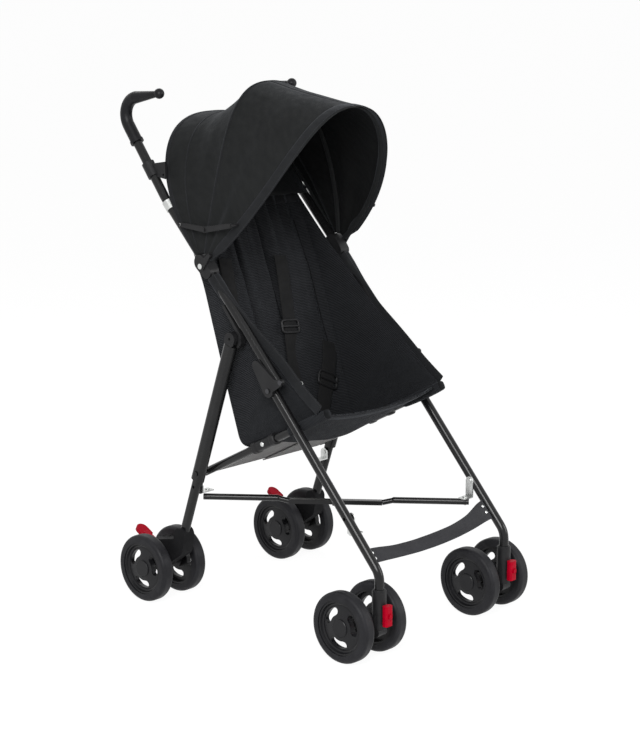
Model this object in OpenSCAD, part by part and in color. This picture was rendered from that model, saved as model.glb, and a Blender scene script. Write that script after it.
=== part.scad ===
// Folding umbrella stroller with twin wheels, sling seat and hinged canopy.
// X runs across, front is -Y, Z is up, millimetres.
// The origin lies on the floor under the middle of the outline.

/* [Wheels] */
// Outer diameter of every wheel
wheel_d = 140; // [130:1:150]
// Width of one tyre
tyre_w = 28; // [24:1:32]
// Radial thickness of the tyre
tyre_t = 16; // [13:1:18]
// Distance between the two wheels of a pair
pair_spacing = 92; // [88:1:100]
// Distance between the front and rear axles
wheelbase = 546; // [530:1:560]
// Distance between the two rear legs
rear_track = 394; // [390:1:404]
// Axle diameter
axle_d = 8; // [6:0.5:10]
// Diameter of the hub cap
hub_d = 36; // [32:1:40]
// How far each front axle trails its swivel
caster_trail = 49; // [45:1:54]

/* [Side frame] */
// Distance between the two side frames
frame_track = 380; // [376:1:390]
// Diameter of the main tubes
tube_d = 19; // [17:0.5:20]
// Slope of the front leg
leg_angle = 48.5; // [47:0.5:50]
// Height of the front leg's bend above the axle
leg_rise = 104; // [98:1:112]
// Length of the front leg above its bend
leg_len = 470; // [455:1:480]
// Bend radius of the front leg
leg_bend_r = 40; // [30:1:48]
// Slope of the push tube
push_angle = 46.5; // [45:0.5:48]
// Push tube above the front leg's end
push_len = 406; // [395:1:420]
// Root of the rear leg's catch, up the push tube
catch_s = 146; // [138:1:152]
// Push tube below the front leg's end
push_overlap = 55; // [45:1:65]
// Slope of the handle
handle_angle = 52.8; // [51:0.2:56]
// Straight length of the handle
handle_len = 175; // [160:1:185]

/* [Grip] */
// Diameter of the grip
grip_d = 25; // [23:0.5:28]
// Length of the straight part of the grip
grip_len = 42; // [34:1:60]
// Radius of the hook's bend
hook_r = 36; // [33:1:42]
// Angle through which the hook turns
hook_turn = 118; // [110:1:126]
// Straight run from the bend to the knob
knob_run = 70; // [60:1:78]
// Diameter of the knob
knob_d = 21; // [18:0.5:24]
// Diameter of the thin end beside the knob
knob_neck_d = 11; // [9:0.5:14]

/* [Rear leg] */
// Rear leg above the rail pivot
rear_up = 308; // [300:1:315]
// Distance of the rear leg's foot ahead of the rear axle
foot_lead = 58.3; // [55:0.1:62]
// Height of the rear leg's foot above the rear axle
foot_rise = 51.3; // [48:0.1:55]
// Breadth of the upper sleeve
sleeve_b = 30; // [27:1:32]
// Thickness of the upper sleeve
sleeve_t = 20; // [18:0.5:22]
// Breadth of the lower tube
lower_b = 21; // [19:0.5:24]
// Thickness of the lower tube
lower_t = 15; // [13:0.5:17]
// Sleeve length below the rail pivot
sleeve_tail = 16; // [12:1:20]

/* [Seat rail and cross bars] */
// Diameter of the seat rails
rail_d = 16; // [14:0.5:17]
// Gap between a rail and the front leg
rail_gap = 1.5; // [1:0.5:3]
// Slope of the seat rails
rail_angle = 27.6; // [26:0.2:29]
// Rail pivot's distance down from the front leg's upper end
rail_drop = 140; // [132:1:148]
// Distance between the rail's two pivots
rail_span = 296; // [288:1:304]
// Rail in front of its front pivot
rail_nose = 72; // [60:1:80]
// Front bracket's distance up the front leg
bracket_s = 124; // [118:1:132]
// Rear bracket's distance below the rail pivot
bracket_down = 32; // [28:1:36]
// Diameter of the cross bars
bar_d = 13; // [11:0.5:14]
// Distance between the bars' end pins across the frame
bar_pins = 330; // [324:1:334]
// Height of the cross bars' end pins
bar_z = 226; // [220:1:232]
// Height of the flattened middle of a cross bar
bar_flat = 9; // [7:0.5:10]
// Thickness of the bracket plates
bracket_t = 2.5; // [2:0.5:3]

/* [Canopy] */
// Height of the canopy hinge along the push tube
hinge_s = 237; // [230:1:245]
// Half-width of the canopy at the hinge
canopy_foot_x = 208; // [206:0.5:212]
// Height of the rear bow above the hinge
bow_rear_h = 336; // [330:1:342]
// Height of the middle bow above the hinge
bow_middle_h = 350; // [344:1:356]
// Height of the front bow above the hinge
bow_front_h = 381; // [375:1:387]
// Half-width of the rear bow
bow_rear_w = 200; // [196:1:204]
// Half-width of the middle bow
bow_middle_w = 182; // [178:1:188]
// Half-width of the front bow
bow_front_w = 190; // [186:1:194]
// Squareness of the rear bow
bow_rear_p = 2.6; // [2.4:0.02:2.8]
// Squareness of the middle bow
bow_middle_p = 2.36; // [2.2:0.02:2.5]
// Squareness of the front bow
bow_front_p = 2.2; // [2:0.02:2.4]
// Angle of the rear edge
canopy_rear = 54; // [52:0.5:56]
// Angle of the front edge at the sides
canopy_front_side = 136; // [134:0.5:138]
// Angle of the front edge at the top
canopy_front_top = 124.5; // [122:0.5:128]
// Sag of the fabric between bows
canopy_sag = 7; // [4:0.5:10]
// Thickness of the canopy fabric
canopy_t = 2.5; // [2:0.5:3]

/* [Seat] */
// Top hem of the seat back, behind the rail's rear end
back_top_y = 70; // [62:1:78]
// Top hem of the seat back, above the rail's rear end
back_top_z = 535; // [528:1:542]
// Height of the seat back's bend above the rail's rear end
back_knee_z = 383; // [375:1:390]
// Lower rear corner of the seat, ahead of the rail's rear end
seat_corner_y = 102; // [96:1:108]
// Lower rear corner of the seat, above the rail's rear end
seat_corner_z = 68; // [66:0.5:72]
// Sag of the seat bottom at the middle
seat_sag = 34; // [20:1:45]
// Rearward sag of the seat back at the middle
back_sag = 14; // [6:1:20]
// Thickness of the sling
sling_t = 3; // [2:0.5:4]
// Clearance between fabric and its neighbours
fabric_gap = 0.6; // [0.4:0.1:0.8]
// Width of the harness webbing
strap_w = 36; // [30:1:40]
// Distance between the two shoulder straps
strap_spacing = 100; // [90:1:130]
// Width of the footrest band at its middle
foot_band = 34; // [28:1:42]
// Sag of the footrest band
foot_sag = 24; // [12:1:32]

/* [Fittings] */
// Clearance between turning pieces
run_gap = 0.4; // [0.3:0.05:0.6]
// Diameter of the rivets
rivet_d = 6; // [5:0.5:7]
// Rivet head thickness
rivet_head = 2; // [1.5:0.5:3]
// Width of the brake pedal
pedal_w = 26; // [24:1:30]

/* [Hidden] */
$fn = 64;
side_names = ["left", "right"];

// Heights and stations in the side plane, given as [y, z] with y zero midway between the axles
axle_z = wheel_d / 2;
front_axle = [-wheelbase / 2, axle_z];
rear_axle = [wheelbase / 2, axle_z];
frame_x = frame_track / 2;
rear_x = rear_track / 2;
swivel_y = front_axle.x - caster_trail;
function dir(a) = [cos(a), sin(a)];
function up_normal(a) = [-sin(a), cos(a)];
leg_bend = [swivel_y, axle_z + leg_rise];
leg_dir = dir(leg_angle);
function on_leg(s) = leg_bend + s * leg_dir;
leg_top = on_leg(leg_len);
tube_stack = tube_d + 1;
push_foot = leg_top + tube_stack * up_normal(leg_angle);
push_dir = dir(push_angle);
function on_push(s) = push_foot + s * push_dir;
push_top = on_push(push_len);
handle_dir = dir(handle_angle);
function on_handle(s) = push_top + s * handle_dir;
hook_start = on_handle(handle_len);
hook_centre = hook_start + hook_r * up_normal(handle_angle);
hook_end_angle = handle_angle + hook_turn;
hook_end = hook_centre - hook_r * up_normal(hook_end_angle);
knob = hook_end + knob_run * dir(hook_end_angle);
handle_bend_r = 120;
// Straight runs are a touch thicker than the bends between them and lap over their ends
bend_step = 0.4;
bend_lap = 1;

// Rail, rear leg and cross bar pivots
rail_x = frame_x - tube_d / 2 - rail_gap - rail_d / 2;
rail_dir = dir(-rail_angle);
rail_front_pivot = on_leg(leg_len - rail_drop);
function on_rail(s) = rail_front_pivot + s * rail_dir;
rail_rear_pivot = on_rail(rail_span);
rail_tail = 10;
rear_foot = rear_axle + [-foot_lead, foot_rise];
rear_down = norm(rail_rear_pivot - rear_foot);
rear_angle = 180 - atan2(rail_rear_pivot.y - rear_foot.y, rail_rear_pivot.x - rear_foot.x);
rear_dir = dir(180 - rear_angle);
function on_rear(s) = rail_rear_pivot + s * rear_dir;
rear_head = on_rear(rear_up);
front_bracket_pivot = on_leg(bracket_s);
rear_bracket_pivot = on_rear(-bracket_down);
bar_pin_x = bar_pins / 2;
bar_front = [front_bracket_pivot.x, bar_z];
bar_rear = [rear_bracket_pivot.x, bar_z];
bar_reach = bar_rear.x - bar_front.x;
bar_len = norm([bar_reach, bar_pins]);
bar_yaw = atan2(bar_pins, bar_reach);
bar_joggle = bar_flat / 2 + 1;
tab_gap_rear = 6.5;

// Casters
housing_r = tube_d / 2 + 4.5;
housing_z = axle_z + 29;
stem_z = housing_z + 22;
swivel_d = 10;
fork_w = 24;
lock_back = housing_r + run_gap;
lock_front = pair_spacing / 2 - tyre_w / 2 - 2;
lock_w = 20;
lock_h = 40;
lock_hang = 22;
lock_rib = 3;

// Outline along Y, used to centre the part over the origin
y_rear = hook_centre.x + hook_r + grip_d / 2;
y_front = swivel_y - lock_front;
y_mid = (y_rear + y_front) / 2;

// Canopy hinge and stretcher points
bow_h = [bow_rear_h, bow_middle_h, bow_front_h];
bow_w = [bow_rear_w, bow_middle_w, bow_front_w];
bow_p = [bow_rear_p, bow_middle_p, bow_front_p];
canopy_front = [canopy_front_side, canopy_front_top];
hinge = on_push(hinge_s);
clamp_x = frame_x + tube_d / 2 + 4;
foot_t = 3;
foot_out = clamp_x + run_gap + foot_t;
stretcher_x = canopy_foot_x - 5;
stretcher_t = 3;
stretcher_rear_r = 98;
stretcher_front_r = 124;
stretcher_drop = 9;
stretcher_w = 9;
knuckle_d = 5;
function polar(r, a) = hinge + r * dir(a);
stretcher_rear = polar(stretcher_rear_r, canopy_rear - 2);
stretcher_front = polar(stretcher_front_r, canopy_front[0] - 2);
stretcher_knee = (stretcher_rear + stretcher_front) / 2 - [0, stretcher_drop];

// Seat stations
back_top = [back_top_y, back_top_z];
back_knee = [0, back_knee_z];
seat_corner = [-seat_corner_y, seat_corner_z];
rail_end = on_rail(rail_span + rail_tail);
seat_nose = on_rail(4 - rail_nose);
panel_t = 1.6;
strap_lift = fabric_gap;
strap_t = 2;
panel_x = rail_x - rail_d / 2 - fabric_gap;
sling_x = panel_x - panel_t - 0.4;
crease = rail_end + seat_corner;
sling_path = [rail_end + back_top, rail_end + back_knee, crease, seat_nose];

// Colours
steel_black = [0.06, 0.06, 0.06];
plastic_black = [0.09, 0.09, 0.09];
foam_black = [0.05, 0.05, 0.05];
zinc = [0.75, 0.75, 0.75];
fabric_black = [0.08, 0.08, 0.085];
signal_red = [0.8, 0.05, 0.08];

// Places a left-hand piece, or its mirror image on the right, in the part's own frame
module side(name) translate([0, -y_mid, 0]) mirror([name == "right" ? 1 : 0, 0, 0]) children();
module centred() translate([0, -y_mid, 0]) children();

// Puts a flat [y, z] outline at x, with a thickness w centred on it
module in_side_plane(x, w)
    translate([x, 0, 0]) rotate([90, 0, 90]) linear_extrude(w, center = true) children();

// A pin along X from x0 to x1 at the side-plane point p
module cross_pin(p, d, x0, x1)
    translate([min(x0, x1), p.x, p.y]) rotate([0, 90, 0]) cylinder(h = abs(x1 - x0), d = d);

// Stands children, drawn along +Z, on a side-plane line that starts at p and runs at angle a
module along(x, p, a) translate([x, p.x, p.y]) rotate([a - 90, 0, 0]) children();

// Outline round two circles and their tangents
arc_steps = 12;
function arc_points(c, r, a0, a1) = [for (i = [0:arc_steps]) c + r * dir(a0 + (a1 - a0) * i / arc_steps)];
module tapered(p, q, r1, r2) {
    gap = q - p;
    turn = atan2(gap.y, gap.x);
    tip = acos((r1 - r2) / norm(gap));
    polygon(concat(arc_points(q, r2, turn - tip, turn + tip),
                   arc_points(p, r1, turn + tip, turn - tip + 360)));
}

// Flat oval, b broad along X and t along Y
module oval(b, t) tapered([(t - b) / 2, 0], [(b - t) / 2, 0], t / 2, t / 2);

// Bend of a tube in the side plane about c, from angle a0 through da
module tube_bend(x, c, r, a0, da, d)
    translate([x, c.x, c.y]) rotate([90, 0, 90]) rotate([0, 0, a0])
        rotate_extrude(angle = da) translate([r, 0]) circle(d = d);

// Closed shell between two grids of points that share their rows and columns
module shell(outer, inner) {
    rows = len(outer);
    cols = len(outer[0]);
    points = concat([for (r = outer) each r], [for (r = inner) each r]);
    far = rows * cols;
    function at(i, j) = i * cols + j;
    skin = [for (i = [0:rows - 2], j = [0:cols - 2]) each [
        [at(i, j), at(i, j + 1), at(i + 1, j + 1)], [at(i, j), at(i + 1, j + 1), at(i + 1, j)]]];
    back = [for (f = skin) [f[0] + far, f[2] + far, f[1] + far]];
    rim = concat([for (j = [0:cols - 1]) at(0, j)], [for (i = [1:rows - 1]) at(i, cols - 1)],
                 [for (j = [cols - 2:-1:0]) at(rows - 1, j)], [for (i = [rows - 2:-1:1]) at(i, 0)]);
    edge = [for (k = [0:len(rim) - 1]) let (a = rim[k], b = rim[(k + 1) % len(rim)])
        each [[a, a + far, b + far], [a, b + far, b]]];
    polyhedron(points, concat(skin, back, edge), convexity = 8);
}

// Side frame

// Push tube with its bent handle
module push_tube() color(steel_black) {
    tangent = handle_bend_r * tan((handle_angle - push_angle) / 2);
    straight = push_overlap + push_len - tangent;
    along(-frame_x, on_push(-push_overlap), push_angle) cylinder(h = straight + bend_lap, d = tube_d);
    tube_bend(-frame_x, on_push(push_len - tangent) + handle_bend_r * up_normal(push_angle), handle_bend_r,
              push_angle - 90, handle_angle - push_angle, tube_d - bend_step);
    along(-frame_x, on_handle(tangent - bend_lap), handle_angle)
        cylinder(h = handle_len - grip_len - tangent + bend_lap, d = tube_d);
}

// Front leg with its upright end over the caster
module front_leg() color(steel_black) {
    turn = 90 - leg_angle;
    tangent = leg_bend_r * tan(turn / 2);
    difference() {
        along(-frame_x, on_leg(tangent - bend_lap), leg_angle)
            cylinder(h = leg_len - tangent + bend_lap, d = tube_d);
        cross_pin(front_bracket_pivot, rivet_d + 2 * run_gap, -frame_x - tube_d, -frame_x + tube_d);
    }
    tube_bend(-frame_x, leg_bend + [leg_bend_r, -tangent], leg_bend_r, 180 - turn, turn, tube_d - bend_step);
    along(-frame_x, [swivel_y, stem_z], 90)
        cylinder(h = leg_bend.y - tangent + bend_lap - stem_z, d = tube_d);
}

// Hooked grip that ends in a knob
module handle_grip() color(foam_black) {
    lip = 6;
    along(-frame_x, on_handle(handle_len - grip_len), handle_angle)
        cylinder(h = grip_len + bend_lap, d = grip_d);
    along(-frame_x, on_handle(handle_len - grip_len), handle_angle) cylinder(h = lip, d = grip_d + 3);
    tube_bend(-frame_x, hook_centre, hook_r, handle_angle - 90, hook_turn, grip_d - bend_step);
    along(-frame_x, hook_end - bend_lap * dir(hook_end_angle), hook_end_angle)
        cylinder(h = knob_run + bend_lap, d1 = grip_d, d2 = knob_neck_d);
    translate([-frame_x, knob.x, knob.y]) sphere(d = knob_d);
}

// Collar below the grip and clamp that carries the canopy hinge
module tube_clamps() color(plastic_black) {
    collar_s = 52;
    collar_h = 32;
    collar_d = tube_d + 7;
    collar_mid = on_handle(collar_s + collar_h / 2);
    wing_top = collar_mid + [-44, 20];
    wing_low = collar_mid + [-44, -15];
    wall = 5;
    difference() {
        union() {
            along(-frame_x, on_handle(collar_s), handle_angle) cylinder(h = collar_h, d = collar_d);
            in_side_plane(-frame_x, wall)
                polygon([on_handle(collar_s + 2), on_handle(collar_s + collar_h - 2), wing_top, wing_low]);
        }
        along(-frame_x, on_handle(collar_s - 16), handle_angle) cylinder(h = collar_h + 32, d = tube_d + 0.2);
        cross_pin(wing_low + [6, 8], 5, -frame_x - wall, -frame_x + wall);
    }
    difference() {
        in_side_plane(-frame_x - 1, 2 * (clamp_x - frame_x) - 2)
            tapered(hinge + 9 * push_dir, hinge - 16 * push_dir, tube_d / 2 + 6, tube_d / 2 + 3);
        along(-frame_x, on_push(hinge_s - 61), push_angle) rotate([0, 0, 37])
            cylinder(h = 120, d = tube_d + 0.2);
        cross_pin(hinge, rivet_d + 0.2, -clamp_x - 1, -frame_x - 4);
    }
}

// Finned plate over the joint of push tube and front leg, and the catch that holds the rear leg's head
plate_w = 6;
plate_low = on_leg(leg_len - 52);
plate_tail = on_leg(leg_len - 58) + 40 * up_normal(leg_angle);
module joint_castings() {
    plate_x = -frame_x - tube_d / 2 - plate_w / 2 - 0.2;
    low = plate_low;
    tip = leg_top + 4 * leg_dir + 6 * up_normal(leg_angle);
    tail = plate_tail;
    color(plastic_black) difference() {
        in_side_plane(plate_x, plate_w) {
            tapered(low, tip, 13, 10);
            tapered(low + 6 * leg_dir, tail, 13, 6);
            tapered(tip, on_leg(leg_len - 48) + 20 * up_normal(leg_angle), 10, 10);
        }
        cross_pin(low, rivet_d + 0.2, plate_x - plate_w, plate_x + plate_w);
        cross_pin(tail, rivet_d + 0.2, plate_x - plate_w, plate_x + plate_w);
    }
    catch_w = 14;
    catch_end = 226;
    catch_t = 3.5;
    catch_r = sleeve_b / 2 + 5;
    catch_root = on_push(catch_s) - (tube_d / 2 + catch_t + 0.2) * up_normal(push_angle);
    function round_head(a) = rear_head + catch_r * dir(a);
    color(plastic_black) in_side_plane(-frame_x, catch_w) {
        tapered(catch_root, round_head(155), catch_t, catch_t);
        tapered(round_head(155), round_head(200), catch_t, catch_t);
        tapered(round_head(200), round_head(catch_end), catch_t, catch_t - 0.5);
    }
}

// Sleeve on the lower end of the front leg, with the swivel's bearing
module caster_housing() color(plastic_black) {
    top_z = stem_z + 22;
    difference() {
        union() {
            translate([-frame_x, swivel_y, housing_z]) cylinder(h = top_z - housing_z, r = housing_r);
            translate([-frame_x, swivel_y, top_z - 6]) cylinder(h = 8, r1 = housing_r, r2 = housing_r - 2);
        }
        translate([-frame_x, swivel_y, stem_z]) cylinder(h = 60, d = tube_d + 0.1);
        translate([-frame_x, swivel_y, housing_z - 1]) cylinder(h = 17, d = swivel_d + 2 * run_gap);
    }
}

// Bright bracket on the handle and the rivets of one side
module frame_fittings() color(zinc) {
    strap_l = 20;
    strap_s = push_len - 8 - strap_l;
    difference() {
        along(-frame_x, on_push(strap_s), push_angle) cylinder(h = strap_l, d = tube_d + 4);
        along(-frame_x, on_push(strap_s - 5), push_angle) cylinder(h = strap_l + 10, d = tube_d + 0.2);
    }
    plate_face = -frame_x - tube_d / 2 - plate_w - 0.2;
    for (p = [plate_low, plate_tail]) {
        cross_pin(p, rivet_d, plate_face - 0.1, plate_face + plate_w);
        cross_pin(p, rivet_d + 4, plate_face - rivet_head - 0.1, plate_face - 0.1);
    }
    canopy_pin_out = -foot_out - run_gap;
    cross_pin(hinge, rivet_d, canopy_pin_out, -frame_x - tube_d / 2 - 0.2);
    cross_pin(hinge, rivet_d + 5, canopy_pin_out - rivet_head, canopy_pin_out);
    leg_face = -frame_x + tube_d / 2;
    cross_pin(rail_front_pivot, rivet_d + 5, leg_face + 0.1, leg_face + rail_gap - 0.1);
    cross_pin(rail_front_pivot, rivet_d, -frame_x + tube_d / 2, -rail_x + rail_d / 2 + 0.3);
}

// Front caster

// Fork that swivels in the housing and trails the axle
module caster_fork() color(plastic_black) {
    crown = housing_z - run_gap;
    crown_r = housing_r - 0.4;
    arm_top = axle_z + 2;
    difference() {
        union() {
            translate([-frame_x, swivel_y, arm_top - 4]) cylinder(h = crown - arm_top + 4, r = crown_r);
            translate([-frame_x, swivel_y, crown - 1]) cylinder(h = 16, d = swivel_d);
            in_side_plane(-frame_x, fork_w) {
                tapered([swivel_y, arm_top - 10], front_axle - [8, 9], 10, 9);
                translate(front_axle) circle(r = 12);
            }
            cross_pin(front_axle, 20, -frame_x - hub_gap(), -frame_x + hub_gap());
        }
        cross_pin(front_axle, axle_d + 2 * run_gap, -frame_x - pair_spacing, -frame_x + pair_spacing);
    }
}

// Half the gap that the two hubs of a pair leave between them
function hub_gap() = pair_spacing / 2 - tyre_w / 2 - run_gap - 2;

// Red slider that pins the swivel straight ahead, with a thumb rib on its face
module swivel_lock() color(signal_red) {
    z0 = housing_z - lock_hang;
    corner = 5;
    depth = lock_front - lock_back - lock_rib;
    rib_h = 8;
    translate([-frame_x, swivel_y - lock_back - depth / 2, z0]) {
        linear_extrude(lock_h) {
            square([lock_w, depth - 2 * corner], center = true);
            square([lock_w - 2 * corner, depth], center = true);
            for (x = [-1, 1], y = [-1, 1])
                translate([x * (lock_w / 2 - corner), y * (depth / 2 - corner)]) circle(corner);
        }
        translate([-lock_w / 2 + corner + 1, -depth / 2 - lock_rib, lock_h / 2 - rib_h / 2])
            cube([lock_w - 2 * corner - 2, lock_rib + 1, rib_h]);
    }
}

// Wheels

// One tyre about the X axis, centred on the origin
module tyre() {
    r1 = wheel_d / 2;
    r0 = r1 - tyre_t;
    shoulder = tyre_t / 2;
    rotate([0, 90, 0]) rotate_extrude() {
        translate([r0, -tyre_w / 2]) square([tyre_t - shoulder, tyre_w]);
        translate([r1 - shoulder - 1, -tyre_w / 2 + shoulder]) square([shoulder + 1, tyre_w - 2 * shoulder]);
        for (s = [-1, 1]) translate([r1 - shoulder, s * (tyre_w / 2 - shoulder)]) circle(shoulder);
    }
}

// One rim about the X axis, with its capped face towards +X
module rim() {
    r1 = wheel_d / 2 - tyre_t - 0.1;
    edge = tyre_w / 2 - 2;
    lip = 4;
    cap_r = hub_d / 2;
    bore_r = axle_d / 2 + 0.1;
    bore_end = 5;
    face = edge + 1;
    floor_back = -2;
    hole_in = cap_r + 8;
    hole_out = r1 - lip - 9;
    hole_mid = (hole_out + hole_in) / 2;
    hole_w = hole_out - hole_in;
    hole_half = 24;
    hole_step = 1;
    difference() {
        rotate([0, 90, 0]) rotate_extrude() polygon([
            [0, bore_end], [0, face], [cap_r - 1, face], [cap_r, face - 1], [cap_r, face - 2.5],
            [hole_out + 1, 7], [hole_out + 4, 6], [r1 - lip - 2, 7.5], [r1 - lip, edge], [r1, edge],
            [r1, -edge], [r1 - lip, -edge], [r1 - lip, floor_back], [cap_r, floor_back],
            [cap_r, -edge], [bore_r, -edge], [bore_r, bore_end]]);
        for (a = [40, 160, 280]) rotate([a, 0, 0]) rotate([90, 0, 90])
            translate([0, 0, -tyre_w]) linear_extrude(2 * tyre_w) {
                rotate([0, 0, -hole_half]) translate([hole_mid, 0]) circle(d = hole_w - hole_step);
                rotate([0, 0, hole_half]) translate([hole_mid, 0]) circle(d = hole_w - hole_step);
                intersection() {
                    difference() {
                        circle(hole_out);
                        circle(hole_in);
                    }
                    polygon([[0, 0], 2 * hole_out * dir(-hole_half), 3 * hole_out * dir(0),
                             2 * hole_out * dir(hole_half)]);
                }
            }
    }
}

// Puts the two wheels of a pair at x on an axle, dished faces outwards
module pair(x, axle) for (s = [-1, 1])
    translate([x + s * pair_spacing / 2, axle.x, axle.y]) mirror([s < 0 ? 1 : 0, 0, 0]) children();

// Axle that joins the two wheels of a pair
module pair_axle(x, axle) color(zinc)
    cross_pin(axle, axle_d, x - pair_spacing / 2 - 4, x + pair_spacing / 2 + 4);

module front_tyres() color(foam_black) pair(-frame_x, front_axle) tyre();
module front_rims() color(plastic_black) pair(-frame_x, front_axle) rim();
module front_axle_pin() pair_axle(-frame_x, front_axle);
module rear_tyres() color(foam_black) pair(-rear_x, rear_axle) tyre();
module rear_rims() color(plastic_black) pair(-rear_x, rear_axle) rim();
module rear_axle_pin() pair_axle(-rear_x, rear_axle);

// Rear leg

// Sleeve and lower tube of the rear leg
module rear_leg() color(steel_black) difference() {
    union() {
        along(-rear_x, on_rear(-sleeve_tail), 180 - rear_angle) rotate([0, 0, 90])
            linear_extrude(rear_up + sleeve_tail - 14) oval(sleeve_b, sleeve_t);
        along(-rear_x, rear_foot, 180 - rear_angle) rotate([0, 0, 90])
            linear_extrude(rear_down) oval(lower_b, lower_t);
    }
    cross_pin(rail_rear_pivot, rivet_d + 0.6, -rear_x - sleeve_t, -rear_x + sleeve_t);
    cross_pin(rear_bracket_pivot, rivet_d + 0.6, -rear_x - sleeve_t, -rear_x + sleeve_t);
}

// Moulded head on the rear leg
module rear_leg_head() color(plastic_black) difference() {
    head_r = sleeve_b / 2 - 1.5;
    in_side_plane(-rear_x, sleeve_t - 1) tapered(rear_head, on_rear(rear_up - 4), head_r, head_r);
    along(-rear_x, on_rear(rear_up - 14 - sleeve_b), 180 - rear_angle) translate([-sleeve_t, -sleeve_b, 0])
        cube([2 * sleeve_t, 2 * sleeve_b, sleeve_b + 0.2]);
    cross_pin(rear_head, 5, -rear_x - sleeve_t, -rear_x + sleeve_t);
}

// Socket that holds the rear leg's foot and the rear axle
brake_pivot = rear_axle + [26, 38];
module rear_housing() color(plastic_black) {
    socket = on_rear(-rear_down + 26);
    width = lower_t + 14;
    difference() {
        union() {
            in_side_plane(-rear_x, width) {
                tapered(socket, rear_foot - [2, 6], lower_b / 2 + 4, lower_b / 2 + 5);
                tapered(rear_foot - [2, 6], rear_axle, lower_b / 2 + 5, 13);
                tapered(rear_axle, brake_pivot, 13, 9);
                tapered(rear_foot + [4, 4], brake_pivot, 10, 9);
            }
            cross_pin(rear_axle, 20, -rear_x - hub_gap(), -rear_x + hub_gap());
        }
        along(-rear_x, rear_foot, 180 - rear_angle) rotate([0, 0, 90])
            linear_extrude(rear_down) oval(lower_b + 0.1, lower_t + 0.1);
        cross_pin(rear_axle, axle_d + 2 * run_gap, -rear_x - pair_spacing, -rear_x + pair_spacing);
        cross_pin(brake_pivot, 19, -rear_x - pedal_w / 4 - run_gap, -rear_x + pedal_w / 4 + run_gap);
        cross_pin(brake_pivot, 5, -rear_x - width, -rear_x + width);
    }
}

// Red foot pedal of the parking brake: a neck in the housing's slot and a round-ended tongue
module brake_pedal() color(signal_red) {
    tilt = 29;
    neck = 22;
    reach = 43;
    tongue_t = 8;
    in_side_plane(-rear_x, pedal_w / 2) tapered(brake_pivot, brake_pivot + (neck + 8) * dir(tilt), 8, 5);
    translate([-rear_x, brake_pivot.x, brake_pivot.y]) rotate([tilt, 0, 0])
        translate([0, 0, 0.5 - tongue_t / 2]) linear_extrude(tongue_t) {
            translate([-pedal_w / 2, neck]) square([pedal_w, reach - neck]);
            translate([0, reach]) circle(d = pedal_w - 0.8);
        }
    cross_pin(brake_pivot, 5 - 2 * run_gap, -rear_x - lower_t / 2 - 6, -rear_x + lower_t / 2 + 6);
}

// Seat rail, brackets and cross bars

module seat_rail() color(steel_black) {
    stub = rear_x - sleeve_t / 2 - run_gap;
    difference() {
        along(-rail_x, on_rail(-rail_nose), -rail_angle)
            cylinder(h = rail_nose + rail_span + rail_tail, d = rail_d);
        cross_pin(rail_front_pivot, rivet_d + 2 * run_gap, -rail_x - rail_d, -rail_x + rail_d);
    }
    cross_pin(rail_rear_pivot, rivet_d + 6, -stub, -rail_x);
    cross_pin(rail_rear_pivot, rivet_d, -rear_x - sleeve_t / 2 - 1, -rail_x);
    head_x = -rear_x - sleeve_t / 2 - run_gap;
    cross_pin(rail_rear_pivot, rivet_d + 5, head_x - rivet_head, head_x);
}

// Angle bracket pinned at p on a leg's inner face, with its tab a little above the bar
module angle_bracket(p, face, tab_gap, pin_len) color(zinc) {
    tab_z = bar_z + bar_d / 2 + tab_gap;
    tab_w = 18;
    in_side_plane(face + bracket_t / 2, bracket_t) {
        tapered(p, [p.x, tab_z + 6], 9, 9);
        translate([p.x - tab_w / 2, tab_z]) square([tab_w, 8]);
    }
    translate([face, p.x - tab_w / 2, tab_z]) cube([-bar_pin_x + 10 - face, tab_w, bracket_t]);
    translate([-bar_pin_x, p.x, tab_z - pin_len]) cylinder(h = pin_len + bracket_t + rivet_head, d = rivet_d);
    translate([-bar_pin_x, p.x, tab_z + bracket_t]) cylinder(h = rivet_head, d = rivet_d + 4);
    cross_pin(p, rivet_d, face - tube_d / 3, face + bracket_t + 0.5);
    cross_pin(p, rivet_d + 4, face + bracket_t, face + bracket_t + 1.5);
}

module front_bracket()
    angle_bracket(front_bracket_pivot, -frame_x + tube_d / 2 + 0.3, run_gap, bar_d + 2 * run_gap);
module rear_bracket() angle_bracket(rear_bracket_pivot, -rear_x + sleeve_t / 2 + 0.3, tab_gap_rear, 2);

// Cross bar from the left front pin to the right rear pin, its flat middle raised by lift
module cross_bar(lift) color(steel_black) {
    flat_l = 190;
    end_l = 8;
    ramp = 24;
    straight = (bar_len - flat_l) / 2 - ramp;
    translate([-bar_pin_x, bar_front.x, bar_z]) rotate([0, 0, -bar_yaw]) difference() {
        union() {
            for (e = [0, 1]) translate([0, e * bar_len, 0]) rotate([e * 180, 0, 0]) mirror([0, 0, e]) {
                translate([0, -end_l, 0]) rotate([-90, 0, 0]) cylinder(h = straight + end_l, d = bar_d);
                translate([0, straight, 0]) sphere(d = bar_d);
                translate([0, straight, 0]) rotate([-90 + atan2(lift, ramp), 0, 0])
                    cylinder(h = norm([ramp, lift]), d = bar_flat + 2);
            }
            translate([0, bar_len / 2, lift]) cube([bar_d, flat_l, bar_flat], center = true);
        }
        translate([0, 0, -bar_d]) cylinder(h = 2 * bar_d, d = rivet_d + 2 * run_gap);
        if (lift < 0) translate([0, bar_len / 2, -2 * bar_d]) cylinder(h = 4 * bar_d, d = rivet_d + 3);
    }
    if (lift > 0) translate([-bar_pin_x, bar_front.x, bar_z]) rotate([0, 0, -bar_yaw])
        translate([0, bar_len / 2, -bar_joggle - bar_flat / 2 - 3]) {
            cylinder(h = 2 * bar_joggle + bar_flat / 2 + 3, d = rivet_d);
            cylinder(h = 2.5, d = rivet_d + 8);
        }
}

// Canopy

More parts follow.
